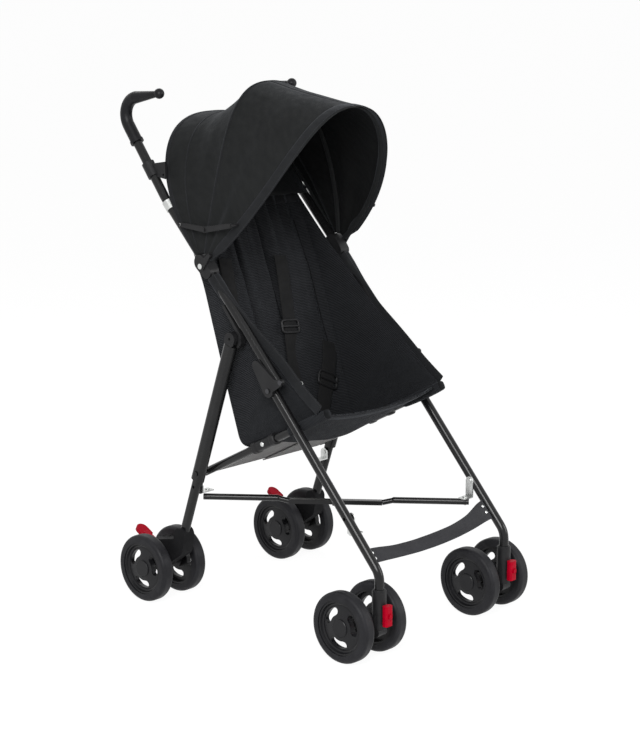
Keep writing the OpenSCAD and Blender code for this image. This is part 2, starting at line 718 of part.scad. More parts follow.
// Quadratic through three values, at the rear edge, the middle bow and the front edge
mid_v = 0.49;
function through(f, v) = f[0] * (v - mid_v) * (v - 1) / mid_v + f[1] * v * (v - 1) / (mid_v * (mid_v - 1))
    + f[2] * v * (v - mid_v) / (1 - mid_v);

// Point of the canopy at v from the rear edge to the front, and t round the arch from 0 to 180, sunk by d
function canopy_point(v, t, d) = let (
    lobe = v < mid_v ? v / mid_v : (v - mid_v) / (1 - mid_v),
    p = 2 / through(bow_p, v),
    front = canopy_front[0] + (canopy_front[1] - canopy_front[0]) * pow(sin(t), 2),
    phi = canopy_rear + v * (front - canopy_rear),
    w = through(bow_w, v),
    w_low = w + (canopy_foot_x - w) * pow(1 - sin(t), 4) - d,
    h = through(bow_h, v) - canopy_sag * pow(sin(180 * lobe), 2) * sin(t) - d,
    r = h * pow(sin(t), p))
    concat([-w_low * sign(cos(t)) * pow(abs(cos(t)), p)], hinge + r * dir(phi));

// Half-width of the outer face at a radius r from the hinge, with a little room
function canopy_side(v, r) = let (
    t = asin(pow(r / through(bow_h, v), through(bow_p, v) / 2)))
    -canopy_point(v, t, 0).x + fabric_gap;

arch_from = 4.5;
arch_steps = 30;
function arch_t(j) = arch_from + (180 - 2 * arch_from) * j / arch_steps;

module canopy_fabric() color(fabric_black) centred() {
    rows = 16;
    shell([for (i = [0:rows]) [for (j = [0:arch_steps]) canopy_point(i / rows, arch_t(j), 0)]],
          [for (i = [0:rows]) [for (j = [0:arch_steps]) canopy_point(i / rows, arch_t(j), canopy_t)]]);
}

// Flat springy bow under the fabric, from v - half to v + half
module bow(v, half) color(plastic_black) centred() {
    gap = canopy_t + 0.5;
    thick = 3.5;
    shell([for (s = [-1, 1]) [for (j = [0:arch_steps]) canopy_point(v + s * half, arch_t(j), gap)]],
          [for (s = [-1, 1]) [for (j = [0:arch_steps]) canopy_point(v + s * half, arch_t(j), gap + thick)]]);
}

// Radius from the hinge at which the ends of a bow at v begin
function canopy_reach(v) =
    norm([for (k = [1, 2]) canopy_point(v, arch_from, canopy_t + 4)[k] - hinge[k - 1]]);

rear_bow_v = 0.03;
front_bow_v = 0.97;
bow_half = 0.012;
module canopy_rear_bow() bow(rear_bow_v, bow_half);
module canopy_middle_bow() bow(mid_v, bow_half);
module canopy_front_bow() bow(front_bow_v, bow_half);

// Foot of the front bow, which turns on the canopy hinge
module canopy_foot() color(plastic_black) {
    finger_r = 4;
    finger_in = bow_w[2] + 6;
    bow_end = canopy_reach(front_bow_v) - fabric_gap;
    angle = canopy_rear + front_bow_v * (canopy_front[0] - canopy_rear);
    difference() {
        in_side_plane(-foot_out + foot_t / 2, foot_t)
            tapered(hinge, polar(bow_end - finger_r, angle), 9, finger_r);
        cross_pin(hinge, rivet_d + 2 * run_gap, -foot_out - foot_t, -frame_x);
    }
    in_side_plane(-(foot_out + finger_in) / 2, foot_out - finger_in)
        tapered(polar(bow_end - 2 * finger_r, angle), polar(bow_end - finger_r, angle), finger_r, finger_r);
}

// Half of the jointed stay that holds the canopy open
module stretcher_link(from, x, inner) {
    in_side_plane(x, stretcher_t) tapered(from, stretcher_knee, stretcher_w / 2, stretcher_w / 2 + 1.5);
    cross_pin(from, rivet_d, x - stretcher_t / 2 - rivet_head, -inner);
}

// Rear half, with the knuckle's rivet
stretcher_rear_x = -stretcher_x - stretcher_t / 2;
stretcher_front_x = stretcher_rear_x - stretcher_t - run_gap;
module stretcher_rear_link() color(plastic_black) {
    head_x = stretcher_front_x - stretcher_t / 2 - run_gap;
    stretcher_link(stretcher_rear, stretcher_rear_x, canopy_side(0, stretcher_rear_r));
    cross_pin(stretcher_knee, knuckle_d, head_x - 1, stretcher_rear_x);
    cross_pin(stretcher_knee, knuckle_d + 3, head_x - rivet_head, head_x);
}

// Front half, bored for the rivet
module stretcher_front_link() color(plastic_black) difference() {
    stretcher_link(stretcher_front, stretcher_front_x, canopy_side(1, stretcher_front_r));
    cross_pin(stretcher_knee, knuckle_d + 2 * run_gap,
              stretcher_front_x - stretcher_t, stretcher_front_x + stretcher_t);
}

// Seat

// Point of the sling at v from the top hem down the back and along the bottom to the front, lifted by d
function path_at(v) = let (k = min(2, floor(v)), f = v - k) sling_path[k] * (1 - f) + sling_path[k + 1] * f;
function sling_point(x, v, d) = let (
    belly = 1 - pow(x / sling_x, 2),
    back = v < 2 ? sin(90 * min(1, 2 - v)) : 0,
    seat = v > 1.5 ? sin(180 * min(1, (v - 1.5) / 1.62)) : 0,
    step = path_at(min(3, v + 0.02)) - path_at(max(0, v - 0.02)),
    turn = atan2(step.y, step.x),
    p = path_at(v) + belly * (back * [back_sag, 0] - seat * [0, seat_sag]) - d * up_normal(turn))
    [x, p.x, p.y];

// Stations along the sling, closer together round the crease
sling_v = [for (i = [0:24]) let (f = i / 24) 3 * f - 0.12 * sin(360 * f)];

module seat_sling() color(fabric_black) centred() {
    xs = [for (j = [-8:8]) sling_x * j / 8];
    shell([for (v = sling_v) [for (x = xs) sling_point(x, v, 0)]],
          [for (v = sling_v) [for (x = xs) sling_point(x, v, -sling_t)]]);
    hem = on_push(hinge_s - 12) - (tube_d / 2) * up_normal(push_angle);
    for (s = [-1, 1]) in_side_plane(s * (panel_x - panel_t / 2), panel_t)
        polygon([hem, seat_nose, on_rail(0), crease, rail_end + back_knee]);
}

// Shoulder straps on the seat back, and the sliders on them
module harness_straps() color(fabric_black) centred() for (s = [-1, 1]) {
    x0 = s * strap_spacing / 2;
    vs = [for (i = [0:12]) 0.35 + 1.6 * i / 12];
    shell([for (v = vs) [for (e = [-1, 1]) sling_point(x0 + e * strap_w / 2, v, strap_lift + strap_t)]],
          [for (v = vs) [for (e = [-1, 1]) sling_point(x0 + e * strap_w / 2, v, strap_lift)]]);
}

module harness_sliders() color(plastic_black) centred() for (s = [-1, 1]) {
    slider_v = 1.35;
    slider = [strap_w + 12, 3, 26];
    window = [strap_w + 2, 8, 7];
    window_z = 6;
    x0 = s * strap_spacing / 2;
    seat = strap_lift + strap_t + fabric_gap + slider.y / 2;
    p = sling_point(x0, slider_v, seat);
    rise = sling_point(x0, slider_v - 0.05, seat) - sling_point(x0, slider_v + 0.05, seat);
    reach = sling_point(x0 + 5, slider_v, seat) - sling_point(x0 - 5, slider_v, seat);
    lean = atan2(rise.y, rise.z);
    yaw = atan2(reach.y, reach.x);
    translate(p) rotate([0, 0, yaw]) rotate([-lean, 0, 0]) difference() {
        cube(slider, center = true);
        for (e = [-1, 1]) translate([0, 0, e * window_z]) cube(window, center = true);
    }
}

// Point of the foot band at u across, on its lower edge or, for e = 1, its upper one, sunk by d
foot_low_s = 36;
foot_high_s = 78;
foot_edge_x = frame_x - tube_d / 2 - 0.5;
function foot_point(u, e, d) = let (
    belly = 1 - u * u,
    high_s = foot_high_s + belly * (foot_low_s + foot_band - foot_high_s),
    p = on_leg(e > 0 ? high_s : foot_low_s) + belly * [foot_sag / 2, -foot_sag] - d * up_normal(leg_angle))
    [u * foot_edge_x, p.x, p.y];

// Foot band slung between the front legs
module footrest() color(fabric_black) centred() {
    band_t = 2;
    us = [for (j = [-10:10]) j / 10];
    shell([for (e = [0, 1]) [for (u = us) foot_point(u, e, 0)]],
          [for (e = [0, 1]) [for (u = us) foot_point(u, e, band_t)]]);
}

for (s = side_names) {
    side(s) push_tube();
    side(s) front_leg();
    side(s) handle_grip();
    side(s) tube_clamps();
    side(s) joint_castings();
    side(s) caster_housing();
    side(s) frame_fittings();
    side(s) rear_leg();
    side(s) rear_leg_head();
    side(s) rear_housing();
    side(s) brake_pedal();
    side(s) caster_fork();
    side(s) swivel_lock();
    side(s) seat_rail();
    side(s) front_bracket();
    side(s) rear_bracket();
    side(s) cross_bar(s == "left" ? bar_joggle : -bar_joggle);
    side(s) front_tyres();
    side(s) front_rims();
    side(s) front_axle_pin();
    side(s) rear_tyres();
    side(s) rear_rims();
    side(s) rear_axle_pin();
    side(s) canopy_foot();
    side(s) stretcher_rear_link();
    side(s) stretcher_front_link();
}
canopy_fabric();
canopy_front_bow();
canopy_middle_bow();
canopy_rear_bow();
seat_sling();
harness_straps();
harness_sliders();
footrest();
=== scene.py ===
# %% [markdown]
# An umbrella stroller, dressed for its picture.
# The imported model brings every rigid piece: tubes, mouldings, wheels, brackets. This lesson gives those
# pieces their finishes and makes the soft ones, which solids can't show well: canopy, sling seat, harness
# and foot band.

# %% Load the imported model
import bpy
import bmesh
import numpy as np
from mathutils import Matrix


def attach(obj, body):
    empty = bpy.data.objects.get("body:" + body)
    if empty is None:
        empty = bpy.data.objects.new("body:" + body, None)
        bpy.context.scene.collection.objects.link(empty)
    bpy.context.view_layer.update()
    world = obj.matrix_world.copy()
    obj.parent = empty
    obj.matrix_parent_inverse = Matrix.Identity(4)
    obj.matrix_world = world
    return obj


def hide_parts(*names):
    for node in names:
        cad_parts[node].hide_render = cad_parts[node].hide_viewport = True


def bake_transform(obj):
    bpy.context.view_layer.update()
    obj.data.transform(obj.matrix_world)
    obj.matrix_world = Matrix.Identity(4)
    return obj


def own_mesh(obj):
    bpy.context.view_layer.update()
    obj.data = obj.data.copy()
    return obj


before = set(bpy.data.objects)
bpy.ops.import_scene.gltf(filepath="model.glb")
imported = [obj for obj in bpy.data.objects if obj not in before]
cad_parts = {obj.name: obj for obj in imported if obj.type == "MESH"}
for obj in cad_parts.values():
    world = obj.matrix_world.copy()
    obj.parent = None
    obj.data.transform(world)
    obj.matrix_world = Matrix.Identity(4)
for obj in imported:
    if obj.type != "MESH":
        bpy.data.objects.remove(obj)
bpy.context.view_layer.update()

# %% [markdown]
# Stations below are in millimetres, as a maker would note them: x across, y back from midway between the
# axles, z up from the floor. The model is centred on its outline, which lies a little behind the axles'
# middle, so one helper moves such a station into the model and turns it into metres. Pieces that come in
# pairs are described on the left, and another helper mirrors them for the right.

# %% Stations and sides
OUTLINE_MIDDLE = 13.777
MM = 0.001
scene = bpy.context.scene
SIDES = ("left", "right")
hinge = np.array([137.6, 711.2])


def matched(*values):
    """Numbers and arrays brought to one common shape."""
    return np.broadcast_arrays(*(np.asarray(value, float) for value in values))


def station(x, y, z):
    """Point of the model, in metres, for stations in millimetres."""
    x, y, z = matched(x, y, z)
    return np.stack([x, y - OUTLINE_MIDDLE, z], axis=-1) * MM


def on_side(points, side):
    """A left-hand grid where it belongs: as it is on the left, mirrored on the right."""
    return points * np.array([-1.0, 1.0, 1.0]) if side == "right" else points


def unit(a):
    """Vectors scaled to length one."""
    return a / np.linalg.norm(a, axis=-1, keepdims=True)


def full_turn(count):
    """Angles of a full turn in so many steps."""
    return np.linspace(0, 2 * np.pi, count, endpoint=False)


def squared_off(wave, power):
    """Cosine or sine with its size raised to a power, which makes a rounded box of a circle."""
    return np.sign(wave) * np.abs(wave) ** power


# %% [markdown]
# The camera stands to the front left, a little above the seat, about four metres away with a long lens.
# Its place was worked out from the wheels, which are round, and the tubes, which are straight. A wide
# lens nearby would make the near wheels too big.

# %% Camera
turn = np.radians(-46.98)
rise = np.radians(12.41)
distance = 4.113
focal_pixels = 2037
photo_rows = 747
sensor = 36


def posed(right, up, back, where):
    """Matrix that puts a camera or a lamp at a point, with its own axes along three unit directions."""
    matrix = np.eye(4)
    matrix[:3] = np.column_stack([right, up, back, where])
    return Matrix(matrix.tolist())


backward = np.array([np.sin(turn) * np.cos(rise), -np.cos(turn) * np.cos(rise), np.sin(rise)])
sideways = np.array([np.cos(turn), np.sin(turn), 0.0])
aim = station(-9, 0, 484)
eye = aim + distance * backward
view = bpy.data.cameras.new("photo_view")
view.lens = focal_pixels * sensor / photo_rows
view.sensor_width = sensor
camera = bpy.data.objects.new("photo_view", view)
camera.matrix_world = posed(sideways, np.cross(backward, sideways), backward, eye)
scene.collection.objects.link(camera)
scene.camera = camera
scene.view_settings.view_transform = "Standard"
print("camera at", eye.round(3), "lens", round(view.lens, 1))

# %% [markdown]
# Every look is a tree of shader nodes. Such a tree could be laid out by hand in the node editor, but a
# script gives the same one each time. A few small builders add a node, set its inputs and link it, all
# in one call.

# %% Small builders for shader trees
WHITE = (1, 1, 1, 1)


def feed(tree, node, sockets):
    """Gives inputs of a node their plain values, or links them to the outputs that feed them."""
    for key, value in sockets.items():
        if isinstance(value, bpy.types.NodeSocket):
            tree.links.new(value, node.inputs[key])
        else:
            node.inputs[key].default_value = value


def put(tree, kind, sockets=None, **settings):
    """Adds a shader node of a kind, with its settings and its inputs."""
    made = tree.nodes.new("ShaderNode" + kind)
    for key, value in settings.items():
        setattr(made, key, value)
    feed(tree, made, sockets or {})
    return made


def reckon(tree, operation, *values):
    """Output of a sum, product or comparison of plain values and outputs."""
    return put(tree, "Math", dict(enumerate(values)), operation=operation).outputs[0]


def backdrop_share(tree):
    """Output that is 1 for what the camera sees, in reflections and through clear things too, else 0."""
    path = put(tree, "LightPath").outputs
    shiny = reckon(tree, "MAXIMUM", path["Is Glossy Ray"], path["Is Transmission Ray"])
    return reckon(tree, "MAXIMUM", path["Is Camera Ray"], shiny)


print("shader builders ready")

# %% [markdown]
# A studio with a pale floor: one large soft lamp from the left front, a weaker one from the right, a
# strip above and behind that draws the long highlights on the tubes. A picture of a real studio could
# light the scene too, but three lamps are easier to aim and need no file. The backdrop is white only to
# the camera and in reflections, and the floor is mixed with that white so that it keeps a soft shadow.

# %% Studio
world = bpy.data.worlds.new("studio")
scene.world = world
world.use_nodes = True
sky = world.node_tree
sky.nodes.clear()
soft_air = put(sky, "Background", {"Color": WHITE, "Strength": 0.30}).outputs[0]
white_wall = put(sky, "Background", {"Color": WHITE, "Strength": 1.0}).outputs[0]
both = put(sky, "MixShader", {0: backdrop_share(sky), 1: soft_air, 2: white_wall})
put(sky, "OutputWorld", {"Surface": both.outputs[0]})

half_floor = 60.0
floor_corners = [(x * half_floor, y * half_floor, 0) for x, y in ((-1, -1), (1, -1), (1, 1), (-1, 1))]
floor_mesh = bpy.data.meshes.new("studio_floor")
floor_mesh.from_pydata(floor_corners, [], [(0, 1, 2, 3)])
floor = bpy.data.objects.new("studio_floor", floor_mesh)
scene.collection.objects.link(floor)
paper = bpy.data.materials.new("studio_paper")
paper.use_nodes = True
sheet_tree = paper.node_tree
sheet_tree.nodes.clear()
matt = put(sheet_tree, "BsdfDiffuse", {"Color": (0.86, 0.86, 0.86, 1)}).outputs[0]
glow = put(sheet_tree, "Emission", {"Color": WHITE, "Strength": 1.16}).outputs[0]
glow_share = reckon(sheet_tree, "MULTIPLY", backdrop_share(sheet_tree), 0.8)
mixed = put(sheet_tree, "MixShader", {0: glow_share, 1: matt, 2: glow})
put(sheet_tree, "OutputMaterial", {"Surface": mixed.outputs[0]})
floor_mesh.materials.append(paper)


def lamp(name, place, target, size, watts):
    """Soft rectangular lamp that faces a target point."""
    light = bpy.data.lights.new(name, "AREA")
    light.shape = "RECTANGLE"
    light.size, light.size_y = size
    light.energy = watts
    holder = bpy.data.objects.new(name, light)
    away = unit(np.subtract(place, target))
    right = unit(np.cross((0, 0, 1), away))
    holder.matrix_world = posed(right, np.cross(away, right), away, place)
    scene.collection.objects.link(holder)


lamp("key_softbox", (-2.3, -1.7, 2.1), target=(0, 0, 0.5), size=(1.5, 1.5), watts=74)
lamp("fill_softbox", (1.6, -2.6, 1.5), target=(0, 0, 0.5), size=(1.2, 1.8), watts=30)
lamp("back_strip", (1.2, 2.2, 2.6), target=(0, 0, 0.6), size=(2.2, 0.5), watts=12)
print("studio ready")

# %% [markdown]
# Finishes. Each one starts from the standard shader and adds what the eye uses to tell materials apart:
# orange peel in the paint, a fine sparkle in mouldings, threads in cloth. Pictures of surfaces could be
# wrapped round the pieces, but noise has no seams. Rigid pieces read object coordinates, so the pattern
# is in metres. Cloth pieces carry their flat cut as a map, also in metres, so that threads follow the
# cloth round its bends.

# %% Rigid finishes
def start_finish(name, colour, roughness, specular):
    """Material with the standard shader; returns it with its tree and shader."""
    finish = bpy.data.materials.new(name)
    finish.use_nodes = True
    tree = finish.node_tree
    shader = tree.nodes["Principled BSDF"]
    feed(tree, shader, {"Base Color": (*colour, 1), "Roughness": roughness, "Specular IOR Level": specular})
    return finish, tree, shader


def mottle(tree, where, scale, low, high):
    """Cloudy number between low and high, from noise of so many cells to the metre."""
    cloud = put(tree, "TexNoise", {"Vector": where, "Scale": scale, "Detail": 3.0}).outputs["Fac"]
    sockets = {"Value": cloud, "From Min": 0.3, "From Max": 0.7, "To Min": low, "To Max": high}
    return put(tree, "MapRange", sockets).outputs[0]


def tint(tree, share, dark, light):
    """Colour between dark and light by a share from 0 to 1."""
    ramp = put(tree, "ValToRGB", {"Fac": share})
    ramp.color_ramp.elements[0].color = (*dark, 1)
    ramp.color_ramp.elements[1].color = (*light, 1)
    return ramp.outputs["Color"]


def repaint(finish, share, colour):
    """Lays another colour over a finish's own, where the share is 1."""
    tree = finish.node_tree
    base = tree.nodes["Principled BSDF"].inputs["Base Color"]
    sockets = {"Factor": share, 6: base.links[0].from_socket, 7: (*colour, 1)}
    mix = put(tree, "Mix", sockets, data_type="RGBA")
    tree.links.new(mix.outputs[2], base)


def rigid_finish(name, colour, light, roughness, specular, grain, depth, metal=0.0, strength=0.2):
    """Hard finish: colour and gloss clouded at hand size, and a fine grain, in cells per metre, as bump."""
    colour_cells, gloss_cells = 38, 90
    finish, tree, shader = start_finish(name, colour, roughness[0], specular)
    where = put(tree, "TexCoord").outputs["Object"]
    shade = tint(tree, mottle(tree, where, colour_cells, 0.0, 1.0), colour, light)
    gloss = mottle(tree, where, gloss_cells, *roughness)
    fine = put(tree, "TexNoise", {"Vector": where, "Scale": grain, "Detail": 2.0}).outputs["Fac"]
    bump = put(tree, "Bump", {"Height": fine, "Strength": strength, "Distance": depth})
    feed(tree, shader, {"Base Color": shade, "Roughness": gloss, "Normal": bump.outputs[0],
                        "Metallic": metal})
    return finish


def dark_below(finish, height, colour):
    """Another colour below a height in metres: the lower rivets are blackened, the upper ones bright."""
    tree = finish.node_tree
    where = put(tree, "SeparateXYZ", {0: put(tree, "TexCoord").outputs["Object"]})
    repaint(finish, reckon(tree, "LESS_THAN", where.outputs[2], height), colour)
    return finish


black_paint = rigid_finish(
    "black_tube_paint", (0.0075, 0.0075, 0.008), (0.0105, 0.0105, 0.011),
    (0.15, 0.20), specular=0.28, grain=240, depth=0.00002, strength=0.04)
satin_moulding = rigid_finish(
    "black_moulding", (0.012, 0.012, 0.013), (0.018, 0.018, 0.019),
    (0.36, 0.50), specular=0.20, grain=2600, depth=0.00006)
wheel_moulding = rigid_finish(
    "wheel_moulding", (0.007, 0.007, 0.0085), (0.011, 0.011, 0.0125),
    (0.30, 0.40), specular=0.24, grain=1800, depth=0.00006)
rough_moulding = rigid_finish(
    "rough_moulding", (0.009, 0.009, 0.010), (0.014, 0.014, 0.015),
    (0.66, 0.78), specular=0.10, grain=2200, depth=0.00008)
tyre_skin = rigid_finish(
    "tyre_skin", (0.012, 0.012, 0.014), (0.020, 0.020, 0.023),
    (0.42, 0.56), specular=0.18, grain=1300, depth=0.0001)
zinc = {"colour": (0.52, 0.53, 0.52), "light": (0.72, 0.73, 0.72), "roughness": (0.26, 0.42),
        "specular": 0.5, "grain": 900, "depth": 0.00006, "metal": 1.0}
bright_zinc = rigid_finish("bright_zinc", **zinc)
fitting_zinc = dark_below(rigid_finish("fitting_zinc", **zinc), height=0.6, colour=(0.07, 0.07, 0.075))
grip_moulding = rigid_finish(
    "soft_grip", (0.007, 0.007, 0.008), (0.012, 0.012, 0.014),
    (0.34, 0.46), specular=0.16, grain=3200, depth=0.00006)
signal_red = rigid_finish(
    "signal_red", (0.40, 0.0006, 0.014), (0.47, 0.001, 0.018),
    (0.30, 0.40), specular=0.07, grain=1500, depth=0.00005)
print("rigid finishes", len(bpy.data.materials))

# %% [markdown]
# Every solid piece takes the finish of what it is made of. The names in the model say that plainly, so a
# short list pairs a finish with the beginnings of names. The first that fits counts.

# %% Finishes on the solid pieces
finish_starts = (
    (satin_moulding, ("rear_leg_head", "tube_clamps", "joint_castings", "caster_housing", "caster_fork",
                      "stretcher", "canopy", "seat_sling", "harness", "footrest")),
    (black_paint, ("push_tube", "front_leg", "rear_leg", "seat_rail", "cross_bar")),
    (grip_moulding, ("handle_grip",)),
    (rough_moulding, ("rear_housing",)),
    (fitting_zinc, ("frame_fittings",)),
    (bright_zinc, ("front_bracket", "rear_bracket", "front_axle", "rear_axle")),
    (signal_red, ("brake_pedal", "swivel_lock")),
    (tyre_skin, ("front_tyres", "rear_tyres")),
    (wheel_moulding, ("front_rims", "rear_rims")))
for node_name, node_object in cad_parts.items():
    node_object.data.materials.clear()
    finish = next(finish for finish, starts in finish_starts if node_name.startswith(starts))
    node_object.data.materials.append(finish)
print("solid pieces dressed", len(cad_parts))

# %% [markdown]
# Cloth finishes. The canopy is a fine plain weave with a slight sheen, and its inner side is painted
# darker, as painted shade under the canopy. The seat is a heavier cloth with raised ribs that run across
# it, about three millimetres apart. Straps are flat webbing with fine ribs. Hems and bindings are the
# canopy cloth folded double with a row of stitches near each edge. Threads made one by one would take far
# too many faces, so waves along the cut stand in for them, as bump and as painted shade: the colour is
# darker in the valleys between ribs and lighter on their crests, with a random cloudy tone on top.

# %% Cloth finishes
def threads(tree, where, direction, period, warp=0.0):
    """Number that swings between 0 and 1 along one direction of the cut, once every period metres."""
    sockets = {"Vector": where, "Scale": np.pi / (10 * period), "Distortion": warp}
    wave = put(tree, "TexWave", sockets, wave_type="BANDS", bands_direction=direction)
    return wave.outputs["Fac"]


def cloth_finish(name, dark, light, across, along, depth, sheen, weight=0.5, clouds=0.35):
    """Woven cloth: ribs across and threads along, each with a period in metres, as bump and as painted
    shade.
    """
    colour_cells, gloss_cells = 22, 60
    finish, tree, shader = start_finish(name, dark, roughness=0.85, specular=0.12)
    where = put(tree, "UVMap", uv_map="cut").outputs[0]
    ribs = threads(tree, where, "Y", across, warp=0.6)
    fine = threads(tree, where, "X", along, warp=0.6)
    # The rib height also sets the colour: valleys are painted darker and crests lighter, as painted shade
    # of the relief; the clouds add a random tone.
    height = reckon(tree, "MULTIPLY_ADD", ribs, weight, reckon(tree, "MULTIPLY", ribs, fine))
    shade = reckon(tree, "MULTIPLY_ADD", height, 0.45, mottle(tree, where, colour_cells, 0.0, clouds))
    gloss = mottle(tree, where, gloss_cells, 0.72, 0.92)
    bump = put(tree, "Bump", {"Height": height, "Strength": 0.5, "Distance": depth})
    feed(tree, shader, {"Base Color": tint(tree, shade, dark, light), "Roughness": gloss,
                        "Normal": bump.outputs[0], "Sheen Weight": sheen, "Sheen Roughness": 0.45,
                        "Sheen Tint": (0.75, 0.8, 0.9, 1)})
    return finish


def stitched_finish(name, dark, light, width, thread):
    """Folded tape of a given width: a fine weave, and a row of dashes of thread near each edge."""
    row, half_thread, stitch_length = 0.003, 0.0006, 0.0042
    finish = cloth_finish(name, dark, light, across=0.0011, along=0.0009, depth=0.00012, sheen=0.12)
    tree = finish.node_tree
    normal = tree.nodes["Principled BSDF"].inputs["Normal"]
    where = put(tree, "UVMap", uv_map="cut").outputs[0]
    parts = put(tree, "SeparateXYZ", {0: where})
    from_edge = reckon(tree, "PINGPONG", parts.outputs[0], width / 2)
    on_row = reckon(tree, "COMPARE", from_edge, row, half_thread)
    dash = reckon(tree, "GREATER_THAN", threads(tree, where, "Y", stitch_length), 0.35)
    stitch = reckon(tree, "MULTIPLY", on_row, dash)
    repaint(finish, stitch, thread)
    weave = normal.links[0].from_socket
    raised = put(tree, "Bump", {"Height": stitch, "Strength": 0.6, "Distance": 0.0004, "Normal": weave})
    tree.links.new(raised.outputs[0], normal)
    return finish


tape_width = 0.026
canopy_cloth = cloth_finish(
    "canopy_cloth", (0.0108, 0.0114, 0.0116), (0.0205, 0.0215, 0.0217),
    across=0.0010, along=0.0010, depth=0.00012, sheen=0.06, clouds=0.22)
# Painted shade: the canopy's inner side gets this much darker cloth to stand for the shade under the
# canopy.
canopy_inner_shade = cloth_finish(
    "canopy_inner_shade", (0.0045, 0.0047, 0.0048), (0.009, 0.0093, 0.0095),
    across=0.0010, along=0.0010, depth=0.0001, sheen=0.02)
seat_cloth = cloth_finish(
    "seat_rib_cloth", (0.004, 0.0043, 0.0048), (0.039, 0.041, 0.0455),
    across=0.0033, along=0.0013, depth=0.0012, sheen=0.05, weight=1.1, clouds=0.10)
binding_cloth = stitched_finish(
    "binding_tape", (0.012, 0.0125, 0.0135), (0.021, 0.0220, 0.0235), tape_width,
    thread=(0.032, 0.033, 0.036))
# Painted shade: a cloth darker than the seat's, for the thin tapes that darken the seam and corner valleys.
seam_valley_shade = cloth_finish(
    "seam_valley_shade", (0.004, 0.0042, 0.0046), (0.011, 0.0115, 0.0125),
    across=0.0012, along=0.0012, depth=0.0001, sheen=0.03)
webbing = cloth_finish(
    "harness_webbing", (0.010, 0.010, 0.0102), (0.020, 0.020, 0.0205),
    across=0.0016, along=0.0022, depth=0.0003, sheen=0.05)
band_cloth = cloth_finish(
    "foot_band_cloth", (0.030, 0.030, 0.033), (0.060, 0.060, 0.064),
    across=0.0016, along=0.0016, depth=0.0002, sheen=0.1)
board_skin = cloth_finish(
    "seat_board_skin", (0.19, 0.185, 0.18), (0.33, 0.325, 0.32),
    across=0.0012, along=0.0012, depth=0.0001, sheen=0.05)
print("cloth finishes ready")

# %% [markdown]
# Soft pieces are grids: a function gives the point for each pair of parameters, all pairs at once, and
# neighbours are joined by four-sided faces. Cloth could also be dropped over the frame in a simulation,
# but with formulas every sag and pull can be set on its own. The flat cut is measured on the grid
# itself, by adding up the lengths of its edges both ways.

# %% Grids, cuts and pieces
def grid_faces(rows, cols, wrap=False):
    """Quads of a grid of points, row by row; with wrap the last column joins the first."""
    i = np.arange(rows - 1)[:, None]
    j = np.arange(cols if wrap else cols - 1)[None, :]
    beside = (j + 1) % cols
    corners = (i * cols + j, i * cols + beside, (i + 1) * cols + beside, (i + 1) * cols + j)
    return np.stack(np.broadcast_arrays(*corners), -1).reshape(-1, 4)


def flat_cut(points):
    """Coordinates of the cut: lengths added up along the rows and along the columns."""
    across = np.linalg.norm(np.diff(points, axis=1), axis=-1).cumsum(axis=1)
    along = np.linalg.norm(np.diff(points, axis=0), axis=-1).cumsum(axis=0)
    across = np.pad(across, ((0, 0), (1, 0)))
    along = np.pad(along, ((1, 0), (0, 0)))
    return np.stack([across, along], axis=-1)


def cut_size(points):
    """Width and length in metres of the rectangle for a piece: its longest row and its longest column."""
    size = flat_cut(points).max(axis=(0, 1))
    return float(size[0]), float(size[1])


def cloth_area(points):
    """Area of a grid in square metres, from the two triangles of each cell."""
    a, b = points[:-1, :-1], points[:-1, 1:]
    c, d = points[1:, 1:], points[1:, :-1]
    first, second = np.cross(b - a, c - a), np.cross(c - a, d - a)
    doubled = np.linalg.norm(first, axis=-1) + np.linalg.norm(second, axis=-1)
    return float(doubled.sum() / 2)


def add_piece(name, points, finish, faces=None, cut=None, flip=False):
    """Mesh object of a grid, with its cut as a map; flip turns the faces round, as for a mirror image."""
    mesh = bpy.data.meshes.new(name)
    faces = grid_faces(*points.shape[:2]) if faces is None else faces
    faces = faces[:, ::-1] if flip else faces
    mesh.from_pydata(points.reshape(-1, 3).tolist(), [], faces.tolist())
    corner = np.empty(len(mesh.loops), dtype=np.int32)
    mesh.loops.foreach_get("vertex_index", corner)
    flat = (flat_cut(points) if cut is None else cut).reshape(-1, 2)
    mesh.uv_layers.new(name="cut").data.foreach_set("uv", flat[corner].astype(np.float32).ravel())
    mesh.shade_smooth()
    mesh.materials.append(finish)
    piece = bpy.data.objects.new(name, mesh)
    scene.collection.objects.link(piece)
    return piece


def thicken(piece, thickness, offset=0.0, inner_shade_finish=None):
    """Gives a sheet its thickness, and its inner side a finish of its own where one is given; the canopy
    gets a darker one there as painted shade.
    """
    wall = piece.modifiers.new("thickness", "SOLIDIFY")
    wall.thickness = thickness
    wall.offset = offset
    if inner_shade_finish is not None:
        piece.data.materials.append(inner_shade_finish)
        wall.material_offset = 1


def gentle(a, b, seed, count=7):
    """Soft wrinkles between -1 and 1: slanted waves with slants, sizes and phases from fixed numbers."""
    k = np.arange(count) + seed
    golden_angle, golden_part, plastic_part, whole_wave = 2.399963, 0.618034, 0.754878, 6.283185
    slant = golden_angle * k
    size = 0.7 + 0.6 * np.modf(golden_part * k)[0]
    phase = whole_wave * np.modf(plastic_part * k)[0]
    waves = np.sin(a[..., None] * np.cos(slant) * size + b[..., None] * np.sin(slant) * size + phase)
    return waves.sum(axis=-1) / count ** 0.5 / 1.4


print("grid helpers ready")

# %% [markdown]
# The canopy is one cloth over three springy bows that meet at the hinge on each push tube. Each bow is a
# squared arch in a plane through the hinge axis, bent a little forward or back towards its crown. Between
# two bows the cloth runs straight, less a dip. It is cut in two mirrored halves here, because the two
# sides move together when the frame folds.

# %% Canopy surface
bow_height = (335.0, 351.5, 386.0)
bow_half = (208.0, 173.0, 188.0)
bow_square = (2.55, 2.38, 2.24)
side_slope = (48.8, 95.5, 144.0)
crown_slope = (57.0, 88.0, 125.5)
foot_half = (201.5, 199.0, 199.0)
panel_dip = (22.0, 3.0)
middle_share = 0.49
lowest_arch = 2.4


